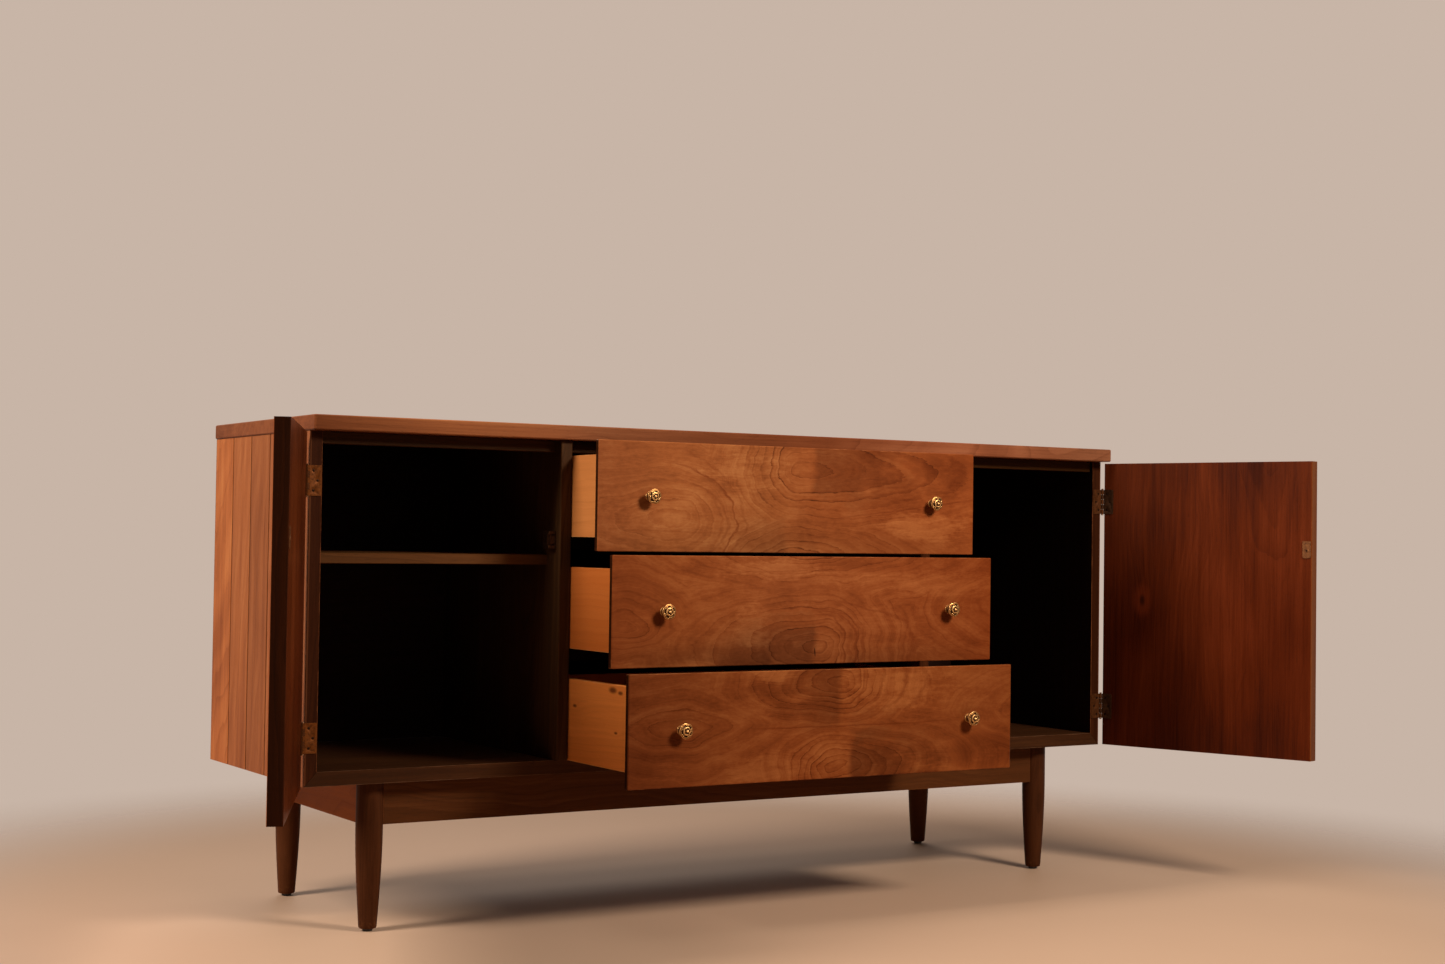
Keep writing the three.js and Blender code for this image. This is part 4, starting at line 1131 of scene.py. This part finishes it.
def placeHinges():
    masters, pinMaster = hingeMasters()
    for side in sideNames:
        pin, (along, through, _) = doorFrame(side)
        swing = Matrix((along, through, along.cross(through))).transposed().to_4x4()
        still = spun(0 if side == "left" else 180, "Y")
        for level in ("lower", "upper"):
            low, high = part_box(f"{side}_{level}_case_leaf")
            centre = Matrix.Translation((pin.x, pin.y, (low.z + high.z) / 2))
            for kind, turn, body in (("case", still, "case"), ("door", swing, f"{side}_door")):
                leaf, screws = masters[kind]
                plate = copyOf(leaf, f"{side}_{level}_{kind}_hinge_leaf", centre @ turn @ mm)
                leafBronze[side, kind].coat(plate)
                plate.data.materials.append(metals["knuckleBronze"].material)
                placed(plate, body, "bronze", f"{side}_{level}_{kind}_leaf")
                heads = copyOf(screws, f"{side}_{level}_{kind}_hinge_screws", centre @ turn @ mm)
                metals["screwSteel"].coat(heads)
                placed(heads, body, "bronze")
            rod = copyOf(pinMaster, f"{side}_{level}_hinge_pin", centre @ mm)
            metals["pinBronze"].coat(rod)
            placed(rod, f"{side}_door", "bronze")
    for master in (*masters["case"], *masters["door"], pinMaster):
        bpy.data.objects.remove(master)
    print("hinges modelled")


placeHinges()

# strike, in mm: small plate with rounded lower corners, a screw and a raised ring round it,
# whose rows are shares of the radius and heights
strike = {"corner": 3.0, "below": 2.0, "radius": 3.6, "screwRadius": 2.0,
          "ring": [(1.0, -0.6), (1.0, 0.1), (0.9, 0.5), (0.66, 0.5), (0.55, 0.05), (0.5, 0.0)]}


def placeStrikes():
    for side in sideNames:
        nodeName = f"{side}_strike_plate"
        pin, ways = doorFrame(side)
        low, high = [corner * 1000 for corner in doorBox(nodeName, pin, ways)]
        plate = block(f"{side}_strike", low.x, high.x, low.y, high.y, low.z, high.z)
        roundCorners(plate, lambda first, second: abs(first.y - second.y) > near
                     and first.z < low.z + near, strike["corner"])
        middle = (low + high) / 2
        out = Matrix.Translation((middle.x, high.y, middle.z - strike["below"])) @ spun(-90, "X")
        ring = turned("ring", [(share * strike["radius"], rise) for share, rise in strike["ring"]])
        ring.data.transform(out)
        cutBy(plate, ring, operation="UNION")
        screws = makeScrews(f"{side}_strike_screw", [out], strike["screwRadius"], slotTurn=35)
        matrix = Matrix.Translation(pin) @ Matrix(ways).transposed().to_4x4() @ mm
        for piece, paint in ((plate, metals["strikeBrass"]), (screws, metals["screwSteel"])):
            piece.data.transform(matrix)
            if side == "right":
                facedOut(piece)  # its ways mirror the mesh
            paint.coat(smoothed(piece))
        placed(plate, f"{side}_door", "catch_metal", nodeName)
        placed(screws, f"{side}_door", "catch_metal")
    print("strikes modelled")


placeStrikes()

# studio, in metres: a floor of two near tones that fades into the backdrop between two radii
studio = {"wall": (200, 181, 167), "floor": (206, 169, 139), "cloud": (198, 161, 131), "size": 24.0,
          "fade": (1.05, 2.0), "fill": 0.04}
lamps = {
    "frontLamp": {"place": (0.75, -2.0, 1.85), "aim": (0.1, -0.1, 0.8), "wide": 0.62, "tall": 0.54,
                  "spread": 115, "power": 25.0, "tint": (1.0, 0.93, 0.85)},
    "windowLamp": {"place": (-2.9, -0.12, 2.15), "aim": (-0.5, -0.1, 0.45), "wide": 0.7, "tall": 1.3,
                   "spread": 120, "power": 39.0, "tint": (1.0, 0.94, 0.88)},
    "topLamp": {"place": (-0.3, 0.3, 3.2), "aim": (0.0, 0.2, 0.4), "wide": 2.4, "tall": 1.2,
                "spread": 110, "power": 6.0, "tint": (1.0, 0.95, 0.9)},
    "backLamp": {"place": (1.1, 2.8, 2.3), "aim": (0.1, 0.3, 0.4), "wide": 1.8, "tall": 1.2,
                 "spread": 120, "power": 8.0, "tint": (1.0, 0.95, 0.9)},
}


def makeFloor():
    floor = startPiece("studioFloor", bpy.ops.mesh.primitive_plane_add, size=studio["size"])
    paint = Paint("paleFloor", Roughness=0.6, Specular_IOR_Level=0.3)
    cloud = paint.noise(paint.place, scale=3.0, detail=3.0, roughness=0.55)
    tone = paint.mix(cloud * 0.5, linear(*studio["floor"]), linear(*studio["cloud"]))
    paint.feed(paint.shader.inputs["Base Color"], tone)
    clear = paint.make("ShaderNodeBsdfTransparent", {}, {})
    fade = distance(paint.x, paint.y).between(*studio["fade"])
    surface = paint.make("ShaderNodeMixShader", {}, (fade, Signal(paint, paint.shader.outputs[0]), clear))
    paint.feed(paint.nodeTree.nodes["Material Output"].inputs[0], surface)
    paint.coat(floor)


def makeLamp(name, kind):
    data = bpy.data.lights.new(name, "AREA")
    data.shape = "RECTANGLE"
    data.size, data.size_y = kind["wide"], kind["tall"]
    data.spread = math.radians(kind["spread"])
    data.energy = kind["power"]
    data.color = kind["tint"]
    lamp = linked(name, data)
    lamp.location = kind["place"]
    lamp.rotation_euler = (Vector(kind["aim"]) - Vector(kind["place"])).to_track_quat("-Z", "Y").to_euler()


# the pale backdrop is seen and reflected, while the room only fills softly
def makeWorld():
    world = bpy.data.worlds.new("paleStudio")
    bpy.context.scene.world = world
    world.use_nodes = True
    tree = Tree(world.node_tree)
    rays = tree.make("ShaderNodeLightPath", {}, {}).socket.node.outputs
    seen = Signal(tree, rays["Is Camera Ray"]) + Signal(tree, rays["Is Glossy Ray"])
    seen = (seen + Signal(tree, rays["Is Transmission Ray"])).atMost(1.0)
    fill = studio["fill"]
    colour = tree.mix(seen, (fill, fill * 0.96, fill * 0.92, 1), linear(*studio["wall"]))
    tree.feed(world.node_tree.nodes["Background"].inputs[0], colour)


view = {"place": (-1.8914, -2.98871, 0.6137), "turn": (91.4898, -0.8019, -31.9346), "lens": 51.835,
        "sensor": 36.0}


def makeCamera():
    data = bpy.data.cameras.new("camera")
    data.lens = view["lens"]
    data.sensor_width = view["sensor"]
    camera = linked("camera", data)
    camera.location = view["place"]
    camera.rotation_euler = [math.radians(angle) for angle in view["turn"]]
    bpy.context.scene.camera = camera


makeFloor()
for lampName, kind in lamps.items():
    makeLamp(lampName, kind)
makeWorld()
makeCamera()
bpy.context.scene.view_settings.view_transform = "Standard"
print("stage set")
